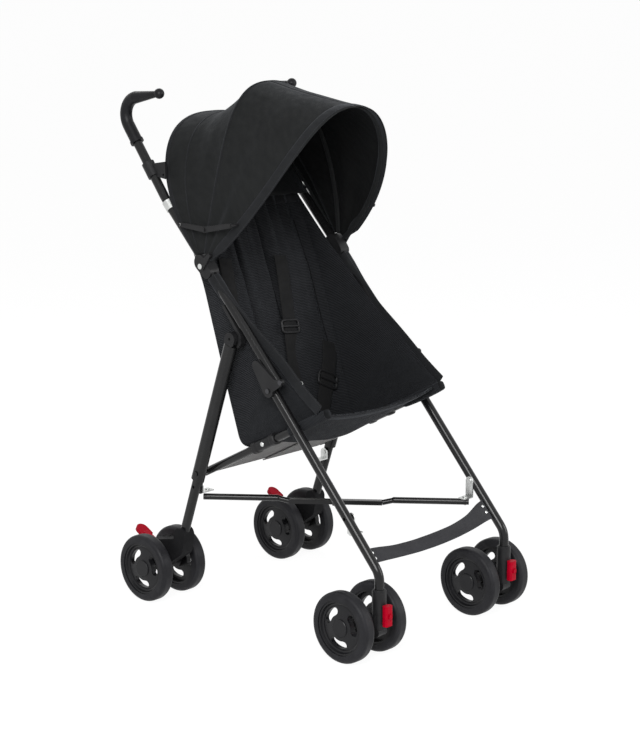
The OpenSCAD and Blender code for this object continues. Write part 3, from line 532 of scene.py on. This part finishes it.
def bow_arch(k, t, sunk):
    """Arch of bow k at t from 0 at the left hinge to 90 at the crown: x and radius are the cosine and sine
    of t raised to 2 over the squareness. The radius stands at a slope between the side's and crown's."""
    sine, cosine = np.sin(np.radians(t)), np.cos(np.radians(t))
    power = 2 / bow_square[k]
    half = bow_half[k] + (foot_half[k] - bow_half[k]) * (1 - sine) ** 2 - sunk
    radius = (bow_height[k] - sunk) * sine ** power
    slope = np.radians(crown_slope[k] + (side_slope[k] - crown_slope[k]) * (1 - sine))
    y, z = hinge[0] + radius * np.cos(slope), hinge[1] + radius * np.sin(slope)
    return np.stack([-half * cosine ** power, y, z], -1)


def canopy_at(v, t, sunk=0.0):
    """Point of the cloth at v from rear to front and t round the arch: straight runs, less the dip."""
    v, t, sunk = matched(v, t, sunk)
    arches = [bow_arch(k, t, sunk) for k in range(3)]
    in_rear = v < middle_share
    lobe = np.where(in_rear, v / middle_share, (v - middle_share) / (1 - middle_share))
    first = np.where(in_rear[..., None], arches[0], arches[1])
    second = np.where(in_rear[..., None], arches[1], arches[2])
    point = first + lobe[..., None] * (second - first)
    from_hinge = (point - np.array([0, *hinge])) * np.array([0.5, 1, 1])
    dip = np.where(in_rear, *panel_dip) * np.sin(np.pi * np.clip(lobe, 0, 1)) * np.sin(np.radians(t))
    point = point - dip[..., None] * unit(from_hinge)
    return station(point[..., 0], point[..., 1], point[..., 2])


def arch_steps(share):
    """Angle t for shares from 0 to 1 of the way from hinge to crown, closer together near the hinge."""
    return lowest_arch + (90 - lowest_arch) * share ** 1.15


print("middle of the canopy's crown at", canopy_at([middle_share], [90])[0].round(3))

# %% [markdown]
# The two halves are one grid, once as it is and once mirrored. Small creases sink the cloth, and they
# are deepest low down near the hinge, where the real cloth gathers.

# %% Canopy halves
share_v, share_t = np.meshgrid(np.linspace(0, 1, 97), np.linspace(0, 1, 73), indexing="ij")
arch_t = arch_steps(share_t)
low_part = (1 - np.sin(np.radians(arch_t))) ** 1.5
creases = gentle(26 * share_v, 3 * arch_t / 90, 3) * (0.9 + 3.4 * low_part) * np.sin(np.pi * share_v) ** 0.5
canopy_half = canopy_at(share_v, arch_t, sunk=creases * np.minimum(1, 6 * share_t))

front_body = {"left": "canopy_front", "right": "canopy_front_right"}
hinge_point = station(0, *hinge)
for side in SIDES:
    half = add_piece(f"canopy_{side}", on_side(canopy_half, side), canopy_cloth,
                     flip=side == "left")
    # The inner side takes the darker finish, as painted shade inside the canopy.
    thicken(half, 0.0012, offset=-1.0, inner_shade_finish=canopy_inner_shade)
    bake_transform(half)
    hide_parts("canopy_fabric")

# %% [markdown]
# Hems, bindings, bows and straps are all long and flat. A curve with a bevel could make them, but a flat
# oval carried along a line, with its direction across given at each point, can't twist where the line
# turns. Its ends are gathered to a point, so that it is a closed shell.


def narrow_at_fold(piece):
    """Gives a piece that spans the stroller a mesh of its own."""
    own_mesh(piece)


def tape_along(centre, wide, thick, half_width, half_thick, around=12):
    """Flat oval profile carried along a line: wide and thick are unit directions at each of its points."""
    angle = full_turn(around)[None, :, None]
    oval_w = squared_off(np.cos(angle), 0.6)
    oval_t = squared_off(np.sin(angle), 0.8)
    half_width = np.reshape(half_width, (-1, 1, 1))
    half_thick = np.reshape(half_thick, (-1, 1, 1))
    return centre[:, None] + half_width * oval_w * wide[:, None] + half_thick * oval_t * thick[:, None]


def close_shell(piece):
    """Merges the points that meet and turns all faces outward."""
    shell = bmesh.new()
    shell.from_mesh(piece.data)
    bmesh.ops.remove_doubles(shell, verts=shell.verts, dist=1e-6)
    bmesh.ops.recalc_face_normals(shell, faces=shell.faces)
    shell.to_mesh(piece.data)
    shell.free()


def tape_piece(name, points, finish, slot, width):
    """Closed tape with its ends gathered to a point; its cut runs across its width and along its length."""
    first, last = (np.broadcast_to(end.mean(axis=0), (1, *end.shape)) for end in (points[0], points[-1]))
    whole = np.concatenate([first, points, last])
    around = whole.shape[1]
    centre = whole.mean(axis=1)
    run = np.pad(np.linalg.norm(np.diff(centre, axis=0), axis=-1).cumsum(), (1, 0))
    side = np.abs(np.linspace(-1, 1, around))[None] * width
    cut = np.stack(np.broadcast_arrays(side, run[:, None]), axis=-1)
    piece = add_piece(name, whole, finish, faces=grid_faces(len(whole), around, wrap=True), cut=cut)
    close_shell(piece)
    return piece


def tape_pair(name, points, finish, slot, width):
    """The same tape on both sides; returns each side with its piece."""
    return [(side, tape_piece(f"{name}_{side}", on_side(points, side), finish, slot, width))
            for side in SIDES]


def canopy_line(v, sunk, t):
    """Line round the canopy at v, with its direction towards the front and its direction outwards."""
    behind, centre, before = (canopy_at(v + step, t, sunk) for step in (-0.005, 0.0, 0.005))
    ahead = unit(before - behind)
    return centre, ahead, unit(np.cross(unit(np.gradient(centre, axis=0)), ahead))


print("tape helpers ready")

# %% [markdown]
# Along the front edge the cloth is folded into a broad band that hides the front bow, a narrow hem
# closes the rear edge, and a seam runs over the rear panel. Each tape follows a line of the canopy
# itself, so that it lies on the cloth, and it narrows towards the hinge.

# %% Canopy tapes
# Each row gives a name, the place from rear to front, half the width and how far it is sunk.
edge_rows = (("front_band", 0.968, 12.0, 0.6), ("rear_hem", 0.012, 5.0, 0.6), ("rear_seam", 0.15, 1.8, 1.0))
edge_share = np.linspace(0, 1, 90)
edge_fade = np.clip(edge_share * 12, 0.45, 1)
for tape_name, v, half_width, sunk in edge_rows:
    centre, ahead, outward = canopy_line(v, sunk, arch_steps(edge_share))
    points = tape_along(centre, ahead, outward, half_width * edge_fade * MM, 1.8 * MM)
    for side, tape in tape_pair(f"canopy_{tape_name}", points, binding_cloth, "canopy_cloth", tape_width):
        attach(tape, front_body[side] if tape_name == "front_band" else f"{side}_frame")

# %% [markdown]
# The three bows are flat springy strips just under the cloth, and a narrow seam runs over the middle
# one. They go from hinge to hinge in one piece, so the line of the left half is mirrored past the crown.

# %% Bows and middle seam
whole_t = lowest_arch + (180 - 2 * lowest_arch) * np.linspace(0, 1, 160)
near_t = np.minimum(whole_t, 180 - whole_t)
turn_over = np.where((whole_t > 90)[:, None], np.array([[-1.0, 1, 1]]), 1.0)
# The sizes of an arch are how far it is sunk, half its width and half its thickness.
bow_sizes = (4.6, 5.0, 2.4)
seam_sizes = (0.4, 2.6, 1.5)
arch_rows = (("rear_bow", 0.03, "left_frame", bow_sizes),
             ("middle_bow", middle_share, "canopy_middle", bow_sizes),
             ("front_bow", 0.965, "canopy_front", bow_sizes),
             ("canopy_middle_seam", middle_share, "canopy_middle", seam_sizes))
for arch_name, v, body, (sunk, half_width, half_thick) in arch_rows:
    centre, ahead, _ = canopy_line(v, sunk, near_t)
    centre = centre * turn_over
    ahead = ahead * turn_over
    outward = unit(np.cross(unit(np.gradient(centre, axis=0)), ahead))
    points = tape_along(centre, ahead, outward, half_width * MM, half_thick * MM)
    is_bow = arch_name.endswith("bow")
    arch_look = (canopy_cloth, "moulding") if is_bow else (binding_cloth, "canopy_cloth")
    arch = tape_piece(arch_name, points, *arch_look, 0.010)
    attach(arch, body)
    if is_bow:
        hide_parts(f"canopy_{arch_name}")
    narrow_at_fold(arch)
print("arches", [row[0] for row in arch_rows])

# %% [markdown]
# A flap of canopy cloth hangs from the rear bow. It is a ruled surface from the bow down to a shorter
# arch, with a slight belly and soft folds. Little of it is seen from the front, so its lower edge is a
# guess.

# %% Rear flap
flap_share, flap_t = np.meshgrid(np.linspace(0, 1, 25), np.linspace(24, 156, 121), indexing="ij")
flap_reach = 0.128
flap_belly = 0.006
flap_fold = 0.002
flap_top = canopy_at(0.012, np.minimum(flap_t, 180 - flap_t), 2.5)
flap_top[..., 0] *= np.where(flap_t > 90, -1, 1)
flap_low = hinge_point + unit(flap_top * np.array([0, 1, 1]) - hinge_point) * flap_reach
flap_low[..., 0] = flap_top[..., 0] * 0.98
flap_points = flap_top + flap_share[..., None] * (flap_low - flap_top)
wavy = gentle(flap_t / 9, 4 * flap_share, 6)
flap_points[..., 1] += flap_belly * np.sin(np.pi * flap_share) + flap_fold * wavy * flap_share
rear_flap = add_piece("canopy_rear_flap", flap_points, canopy_cloth)
thicken(rear_flap, 0.001)
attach(rear_flap, "left_frame")
narrow_at_fold(rear_flap)
cut_size(flap_points)
for side in SIDES:
    cut_size(canopy_half)
print("canopy half cut", cut_size(canopy_half), "flap cut", cut_size(flap_points))

# %% [markdown]
# The seat is a sling: one cloth hangs from the push tubes, runs down the back, turns at the crease and
# lies between the seat rails to the front hem. Two seams run down the back and pull it into three soft
# panels, and a crease near each edge marks the corner. The panels could be made apart and joined, but
# one function for the whole sling also tells straps and hems where the cloth is.

# %% Sling surface
sling_stops = np.array([[237.8, 818.0], [167.8, 662.4], [68.0, 349.0], [-163.6, 455.5]])
seam_x = 38.0
corner_x = 150.0
seam_depth = 12
corner_depth = 13
puff_height = 5
gather_height = 7
wrinkle_height = 5.0
back_belly = 12
seat_belly = 40
rail_pivot = np.array([-103.3, 421.2])
rail_fall = 0.5228


def sling_half(v):
    """Half the sling's width at v: widest at the top hem, narrower down the back and at the seat."""
    return np.interp(v, [0, 0.15, 0.6, 1.6, 2.0, 3.0], [171, 170, 168, 168, 166, 163])


def sling_line(v):
    """Side view of the sling at v from 0 at the top hem to 3 at the front: straight runs, rounded stops."""
    soft = np.linspace(-0.07, 0.07, 9)
    at = np.clip(v[..., None] + soft, 0, 3)
    y = np.interp(at, np.arange(4), sling_stops[:, 0]).mean(axis=-1)
    z = np.interp(at, np.arange(4), sling_stops[:, 1]).mean(axis=-1)
    return y, z


def sling_at(x, v, lift=0.0):
    """Point of the sling at x across and v along: the side view, bellied out between its edges, drawn in at
    seams and corners, gathered under the top hem and wrinkled; lift stands it off along its upper side. The
    rear of the seat lies on the board, so it sags no lower than the rails' plane there."""
    across = np.clip(x / sling_half(v), -1, 1)
    belly = (1 - across ** 2) ** 0.7
    back = np.sin(np.pi / 2 * np.clip(2 - v, 0, 1)) * (v < 2)
    seat = np.sin(np.pi * np.clip((v - 1.5) / 1.72, 0, 1)) * (v > 1.5)
    y, z = sling_line(v)
    next_y, next_z = sling_line(np.clip(v + 0.02, 0, 3))
    last_y, last_z = sling_line(np.clip(v - 0.02, 0, 3))
    dy, dz = next_y - last_y, next_z - last_z
    size = np.hypot(dy, dz)
    up_y, up_z = dz / size, -dy / size
    from_seam = np.abs(x) - seam_x
    from_corner = np.abs(x) - corner_x
    on_back = np.clip(1.85 - v, 0, 1)
    drawn = np.exp(-(from_seam / 5) ** 2) * on_back
    creased = np.exp(-(from_corner / 8) ** 2) * np.clip(1.75 - v, 0, 1) * np.clip(v / 0.3, 0, 1)
    puffed = np.exp(-((from_seam - 22) / 15) ** 2) * on_back
    gathers = np.sin(2 * np.pi * np.abs(x) / 30 + 2.2 * v) * np.exp(-v / 0.42) * np.clip(v / 0.12, 0, 1)
    wrinkle = gentle(0.03 * x, 3.1 * v, 11) + 0.5 * gentle(0.07 * x, 7 * v, 4)
    loose = 1 - np.abs(across) ** 6
    inside = loose * np.clip(v / 0.4, 0, 1) * np.clip((3 - v) / 0.5, 0, 1)
    off = lift - seam_depth * drawn - corner_depth * creased + puff_height * puffed
    off = off + gather_height * gathers * loose + wrinkle_height * wrinkle * inside
    y = y + belly * back * back_belly + off * up_y
    z = z - belly * seat * seat_belly + off * up_z
    floor_z = rail_pivot[1] - rail_fall * (y - rail_pivot[0]) + 2 + lift - 0.9 * np.clip(4 - y, 0, None)
    return station(x, y, np.where(v > 1.6, np.logaddexp(z / 4, floor_z / 4) * 4, z))


def follow_rail(piece):
    """Bakes a soft piece's place into its mesh."""
    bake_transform(piece)


sling_share, sling_v = np.meshgrid(np.linspace(-1, 0, 97), np.linspace(0, 3, 301))
sling_points = sling_at(sling_share * sling_half(sling_v), sling_v)
sling_area = cloth_area(sling_points)
for side in SIDES:
    half = add_piece(f"seat_{side}", on_side(sling_points, side), seat_cloth,
                     flip=side == "left")
    thicken(half, 0.0016)
    follow_rail(half)
    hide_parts("seat_sling")
print("sling half area", round(sling_area, 4), "cut", cut_size(sling_points))

# %% [markdown]
# Side panels close the gap from the sling to the push tubes and rails. A side panel is a ruled surface:
# straight threads from the push tube and the sleeve line at the top to the sling's own edge, then pushed
# in and out a few millimetres so that it hangs in soft folds. A ruled surface meets both edges exactly,
# which a bent plane wouldn't.

# %% Side panels
def along_stops(stops, s):
    """Point on a chain of straight runs at the share s of its stops."""
    at = np.linspace(0, 1, len(stops))
    return np.stack([np.interp(s, at, stops[:, k]) for k in range(stops.shape[1])], axis=-1)


def softened(line, reach):
    """The same line with its corners rounded over a share of its length."""
    s = np.linspace(0, 1, len(line))
    blur = np.exp(-((s[:, None] - s[None]) / reach) ** 2)
    return (blur @ line) / blur.sum(axis=1, keepdims=True)


panel_top = np.array([
    [-170, 236.0, 815.0], [-170, 187.8, 764.2], [-171, 143.1, 717.0], [-177, 112.1, 684.4],
    [-181, 70.8, 641.0], [-181, 22.6, 597.0], [-179, -22.2, 565.0], [-177, -62.0, 536.0],
    [-176, -112.0, 493.0], [-174, -163.0, 456.0]])
panel_v = np.array([0.0, 0.45, 0.9, 1.2, 1.47, 1.74, 2.02, 2.34, 2.67, 3.0])[:, None]
panel_hollow = 5.0
panel_fold = 4.5
panel_s, panel_w = np.meshgrid(np.linspace(0, 1, 141), np.linspace(0, 1, 61), indexing="ij")
edge_v = along_stops(panel_v, panel_s[:, 0])[:, 0]
low_line = sling_at(-sling_half(edge_v), edge_v)[:, None]
top_line = station(*softened(along_stops(panel_top, panel_s[:, 0]), 0.03).T)[:, None]
ruled = top_line + panel_w[..., None] * (low_line - top_line)
folds = gentle(9 * panel_s, 3 * panel_w, 5) + 0.5 * gentle(22 * panel_s, 5 * panel_w, 8)
hollow = np.sin(np.pi * panel_w) * (panel_hollow + panel_fold * folds) * np.sin(np.pi * panel_s) ** 0.7
panel_points = ruled + hollow[..., None] * np.array([MM, 0, 0])
panel_area = cloth_area(panel_points)
for side in SIDES:
    panel = add_piece(f"side_panel_{side}", on_side(panel_points, side), seat_cloth,
                      flip=side == "right")
    thicken(panel, 0.0014)
    follow_rail(panel)
    cut_size(panel_points)
print("side panel area", round(panel_area, 4), "cut", cut_size(panel_points))

# %% [markdown]
# The upper hem of each side panel is a sleeve: round where the push tube runs through it, and flat
# further down, where it is only a doubled edge that runs on to the seat's front. Two more hems close the
# sling at the top and at the front. All are tapes along lines that the cloth has already.

# %% Side sleeves and hems
sleeve_stops = np.array([
    [-190, 126.0, 699.0], [-189, 88.0, 658.0], [-186, 54.0, 626.0], [-182, 18.0, 593.5],
    [-180, -20.0, 567.0], [-179, -58.0, 539.5], [-181, -110.0, 495.0], [-181, -171.0, 453.5]])
sleeve_s = np.linspace(0, 1, 120)
sleeve_centre = station(*softened(along_stops(sleeve_stops, sleeve_s), 0.06).T)
sleeve_run = unit(np.gradient(sleeve_centre, axis=0))
sleeve_wide = unit(np.cross(sleeve_run, np.array([1.0, 0, 0])))
sleeve_thick = unit(np.cross(sleeve_wide, sleeve_run))
round_part = np.clip((0.36 - sleeve_s) / 0.26, 0, 1)
sleeve_swell = (2.0 + 8.9 * round_part ** 1.5) * MM
sleeve_points = tape_along(sleeve_centre, sleeve_wide, sleeve_thick, 12.4 * MM, sleeve_swell, around=20)
hems = [("side_sleeve", sleeve_points)]
for hem_name, v, half_width in (("top_hem", 0.09, 11.0), ("front_hem", 2.93, 9.0)):
    hem_x, hem_v = np.linspace(-1, 0, 70) * sling_half(v), np.full(70, v)
    centre = sling_at(hem_x, hem_v, 0.4)
    wide = unit(sling_at(hem_x, hem_v + 0.03, 0.4) - sling_at(hem_x, hem_v - 0.03, 0.4))
    thick = unit(np.cross(unit(np.gradient(centre, axis=0)), wide))
    hems.append((hem_name, tape_along(centre, wide, thick, half_width * MM, 2.0 * MM)))
for hem_name, hem_points in hems:
    for side, hem in tape_pair(hem_name, hem_points, binding_cloth, "seat_cloth", tape_width):
        follow_rail(hem)
for side in SIDES:
    cut_size(sling_points)

# %% [markdown]
# Between the rails lies a stiff board in two halves, one on each rail, so that they slide over each
# other when the frame folds. A flat grid with a thickness is enough for it. The front of each rail runs
# in a loose sleeve of seat cloth, and a short moulded saddle sits behind it with a rivet through it. Both
# are tapes with a round profile. Smaller rivets of the same shape hold the canopy's stays.

# %% Board, rail sleeves, saddles and rivets
rail_x = 171.0
rail_run = np.array([0.0, 0.8862, -0.4633])
rail_up = np.array([0.0, 0.4633, 0.8862])
board_front, board_rear = 128, 306
across_x = np.array([[1.0, 0, 0]])
left_out = np.array([-1.0, 0, 0])
upright = np.array([0.0, 0, 1])


def on_rail(s, x=-rail_x, up=0.0):
    """Point at s behind the rail's front pivot, up millimetres above the rail's middle line."""
    s, x, up = matched(s, x, up)
    at = np.array([0, *rail_pivot]) + s[..., None] * rail_run + up[..., None] * rail_up
    return station(x, at[..., 1], at[..., 2])


def dome(centre, outward, up, radius, height):
    """Half an ellipsoid that stands on a point and faces outward: a rivet's head, sized in millimetres."""
    rise_angle = np.radians(np.linspace(0, 90, 9))[:, None, None]
    around = full_turn(20)[:, None]
    ring = np.cos(rise_angle) * (np.cos(around) * up + np.sin(around) * np.cross(outward, up))
    return centre + radius * MM * ring + height * MM * np.sin(rise_angle) * outward


board_s, board_x = np.meshgrid(np.linspace(board_front, board_rear, 37), np.linspace(-161, 8, 33),
                               indexing="ij")
for side, up in zip(SIDES, (-3.0, -6.5)):
    board_points = on_rail(board_s, board_x, up)
    board = add_piece(f"seat_board_{side}", on_side(board_points, side), board_skin,
                      flip=side == "left")
    thicken(board, 0.0022)
    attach(board, f"rail_{side}")
    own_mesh(board)
    cut_size(board_points)

sleeve_radius = 9.2
loose_s = np.linspace(-75.5, 34, 60)
loose = np.sin(np.pi * np.clip((loose_s + 75) / 115, 0, 1)) ** 0.6
loose_line = on_rail(loose_s, -rail_x + 1.0, -1.0 * loose)
loose_points = tape_along(loose_line, rail_up[None], across_x, (sleeve_radius + 1.5 * loose) * MM,
                          (sleeve_radius + 0.8 * loose) * MM, around=20)
saddle_radius = 10.2
saddle_lip = 1.6
saddle_middle = 111
saddle_s = np.linspace(78, 144, 45)
at_lip = np.clip((np.abs(saddle_s - saddle_middle) - 22) * 2, 0, 1)
swell = (saddle_radius + saddle_lip * at_lip) * MM
saddle_points = tape_along(on_rail(saddle_s), rail_up[None], across_x, swell, swell, around=28)
rivet_points = dome(on_rail(112, -rail_x - 9.6), left_out, rail_up, radius=5.0, height=2.6)
rail_rows = (("rail_sleeve", loose_points, seat_cloth, "seat_cloth", 0.04),
             ("rail_saddle", saddle_points, satin_moulding, "moulding", 0.04),
             ("saddle_rivet", rivet_points, bright_zinc, "zinc", 0.01))
for side in SIDES:
    for name, points, finish, slot, width in rail_rows:
        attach(tape_piece(f"{name}_{side}", on_side(points, side), finish, slot, width), f"rail_{side}")
stay_x = -205.4
stay_rivets = (("rear", "{}_frame", 197.9, 788.4), ("knuckle", "stay_rear_{}", 124.7, 785.4),
               ("front", "stay_front_{}", 51.5, 800.4))
for rivet_name, body, y, z in stay_rivets:
    head = dome(station(stay_x, y, z), left_out, upright, radius=3.4, height=2.0)
    for side, rivet in tape_pair(f"stay_rivet_{rivet_name}", head, bright_zinc, "zinc", 0.01):
        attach(rivet, body.format(side))
print("board, sleeves, saddles and rivets ready")

# %% [markdown]
# The harness is flat webbing: a shoulder strap on each side hangs down the back, and a short waist belt
# comes out of each rear corner. Webbing is a flat oval carried along a line just in front of the sling,
# so that it follows the folds of the cloth. Thin dark tapes made the same way lie along the back's seams
# and corners, darker than the cloth, as painted shade in their valleys. The shoulder straps don't lie
# alike, so each has its own stops.

# %% Harness and seams
strap_steps = 80
strap_lift = 5.0
seam_lift = 0.9
adjuster_lift = 6.6
ring_lift = 7.0


def strap_line(stops, count, lift):
    """Line on the sling through stops of x and v, with its direction across and its direction outwards."""
    s = np.linspace(0, 1, count)
    at = softened(along_stops(np.asarray(stops, float), s), 0.08)
    centre = sling_at(at[:, 0], at[:, 1], lift)
    off = unit(sling_at(at[:, 0], at[:, 1], lift + 4) - centre)
    run = unit(np.gradient(centre, axis=0))
    return centre, unit(np.cross(run, off)), off


left_shoulder = [(-90, 0.70), (-94, 0.86), (-101, 1.09), (-108, 1.28), (-112, 1.48), (-112, 1.68)]
right_shoulder = [(-67, 0.76), (-61, 0.98), (-52, 1.18), (-44, 1.38), (-38, 1.56), (-37, 1.72)]
belt_stops = [(-152, 1.47), (-138, 1.58), (-115, 1.70), (-90, 1.83), (-68, 1.95)]
harness = (("shoulder_strap", "left", left_shoulder, 18.0),
           ("shoulder_strap", "right", right_shoulder, 18.0),
           ("waist_belt", "left", belt_stops, 20.0), ("waist_belt", "right", belt_stops, 20.0))
for strap_name, side, stops, half_width in harness:
    centre, across, off = strap_line(stops, strap_steps, strap_lift)
    points = on_side(tape_along(centre, across, off, half_width * MM, 1.1 * MM), side)
    strap = tape_piece(f"{strap_name}_{side}", points, webbing, "webbing", 2 * half_width * MM)
    follow_rail(strap)
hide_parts("harness_straps")
# These seam tapes are painted shade: dark strips that deepen the valleys at the seams and corners.
seam_rows = (("back_seam", seam_x, 0.16, 1.8), ("corner_seam", corner_x, 0.3, 1.7))
for seam_name, x, first_v, last_v in seam_rows:
    centre, across, off = strap_line([(-x, first_v), (-x, last_v)], 120, seam_lift)
    points = tape_along(centre, across, off, 1.5 * MM, 0.9 * MM)
    for side, seam in tape_pair(seam_name, points, seam_valley_shade, "seat_cloth", 0.003):
        follow_rail(seam)

# %% [markdown]
# A slide adjuster is a small moulded frame with a bar across its middle. Holes could be cut through a
# plate, but a tube has its rounded edges from the start. Its outline is a rounded rectangle, so the rim
# is a tube carried round that outline, and the bar is a short tube. Both are joined into one piece. A
# plain ring of wire ends each shoulder strap.

# %% Slide adjusters and rings
tube_sides = 10


def frame_loop(half_w, half_h, corner, count=48):
    """Rounded rectangle: a circle whose cosine and sine are squared off by a power."""
    a = full_turn(count)
    pair = (half_w * squared_off(np.cos(a), corner), half_h * squared_off(np.sin(a), corner))
    return np.stack(pair, axis=-1)


def ring_tube(loop, radius):
    """Tube round a flat closed line of pairs, with height as third value; its last ring is its first."""
    run = unit(np.roll(loop, -1, axis=0) - np.roll(loop, 1, axis=0))
    side = np.stack([run[:, 1], -run[:, 0]], axis=-1)
    a = full_turn(tube_sides)
    flat = loop[:, None] + radius * np.cos(a)[None, :, None] * side[:, None]
    height = np.broadcast_to(radius * 0.8 * np.sin(a)[None, :, None], flat.shape[:2] + (1,))
    tube = np.concatenate([flat, height], axis=-1)
    return np.concatenate([tube, tube[:1]])


def strap_spot(stops, place, lift):
    """Point of a strap at a share of its length, with the directions across, along and off the sling."""
    centre, across, off = strap_line(stops, strap_steps, lift)
    k = int(place * (strap_steps - 1))
    return centre[k], np.stack([across[k], np.cross(off[k], across[k]), off[k]])


def adjuster(stops, place, half_w, half_h):
    """Slide adjuster that lies on a strap at the share of its length, facing off the sling."""
    centre, basis = strap_spot(stops, place, adjuster_lift)
    rim = ring_tube(frame_loop(half_w * MM, half_h * MM, 0.35), 2.8 * MM)
    bar_s = np.linspace(-half_w, half_w, 12)[:, None] * MM
    a = full_turn(tube_sides)
    bar_round = (2.8 * MM * np.cos(a), 2.0 * MM * np.sin(a) + 0.6 * MM)
    bar = np.stack(np.broadcast_arrays(bar_s, *bar_round), axis=-1)
    points = np.concatenate([rim.reshape(-1, 3), bar.reshape(-1, 3)]) @ basis + centre
    rim_faces, bar_faces = (grid_faces(len(part), tube_sides, wrap=True) for part in (rim, bar))
    return points, np.concatenate([rim_faces, bar_faces + rim[..., 0].size])


def strap_fitting(name, side, points, faces, finish):
    """Small hard piece on a strap, closed up and baked in place like the sling; it needs no cut."""
    points = on_side(points, side).reshape(-1, 3)
    fitting = add_piece(f"{name}_{side}", points, finish, faces=faces, cut=np.zeros((len(points), 2)))
    close_shell(fitting)
    follow_rail(fitting)
    return fitting


for strap_name, side, stops, half_width in harness:
    on_shoulder = strap_name == "shoulder_strap"
    name, place, half_h = ("shoulder_adjuster", 0.58, 13) if on_shoulder else ("belt_adjuster", 0.5, 15)
    points, faces = adjuster(stops, place, half_width + 6, half_h)
    strap_fitting(name, side, points, faces, satin_moulding)
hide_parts("harness_sliders")
for _, side, stops, _ in harness[:2]:
    centre, basis = strap_spot(stops, 1.0, ring_lift)
    ring = ring_tube(frame_loop(11 * MM, 9 * MM, 0.8), 1.5 * MM) @ basis + centre
    ring_faces = grid_faces(len(ring), tube_sides, wrap=True)
    strap_fitting("strap_ring", side, ring, ring_faces, bright_zinc)

# %% [markdown]
# The foot band is a strip of cloth slung between the front legs just above the casters, riveted to each
# leg. It sags, narrows in the middle and flares at the right leg. It is a ruled surface between two lines
# at heights up the legs.

# %% Foot band
leg_slope = np.radians(48.5)
leg_dir = np.array([np.cos(leg_slope), np.sin(leg_slope)])
leg_bend = np.array([-322.0, 174.0])
foot_low = np.array([24.0, 20.0, 17.0, 17.0, 20.0, 26.0, 36.0])[:, None]
foot_high = np.array([56.0, 46.0, 43.0, 44.0, 47.0, 57.0, 82.0])[:, None]
foot_half_span = 180
foot_sag = 4
foot_u, foot_w = np.meshgrid(np.linspace(-1, 1, 121), np.linspace(0, 1, 25), indexing="ij")
foot_share = np.linspace(0, 1, 121)
low_up, high_up = (softened(along_stops(line, foot_share), 0.06) for line in (foot_low, foot_high))
foot_up = low_up + foot_w * (high_up - low_up)
foot_belly = 1 - foot_u ** 2
foot_y = leg_bend[0] + foot_up * leg_dir[0] + foot_sag * np.sin(np.pi * foot_w) * foot_belly
foot_z = leg_bend[1] + foot_up * leg_dir[1] - foot_sag * np.sin(np.pi * foot_w) * foot_belly
foot_points = station(foot_half_span * foot_u, foot_y, foot_z)
foot_area = cloth_area(foot_points)
foot_band = add_piece("foot_band", foot_points, band_cloth, flip=True)
thicken(foot_band, 0.002)
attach(foot_band, "left_frame")
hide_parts("footrest")
narrow_at_fold(foot_band)
cut_size(foot_points)
leg_normal = np.array([0.0, -leg_dir[1], leg_dir[0]])
leg_along = np.array([0.0, *leg_dir])
for side, x, heights in (("left", -178, (32, 44)), ("right", 172, (50, 64))):
    for k, up in enumerate(heights):
        centre = station(x, *(leg_bend + up * leg_dir)) + leg_normal * 0.0008
        head = dome(centre, leg_normal, leg_along, radius=3.6, height=2.0)
        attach(tape_piece(f"foot_rivet_{side}_{k}", head, bright_zinc, "zinc", 0.01), f"{side}_frame")
print("foot band area", round(foot_area, 4), "cut", cut_size(foot_points))
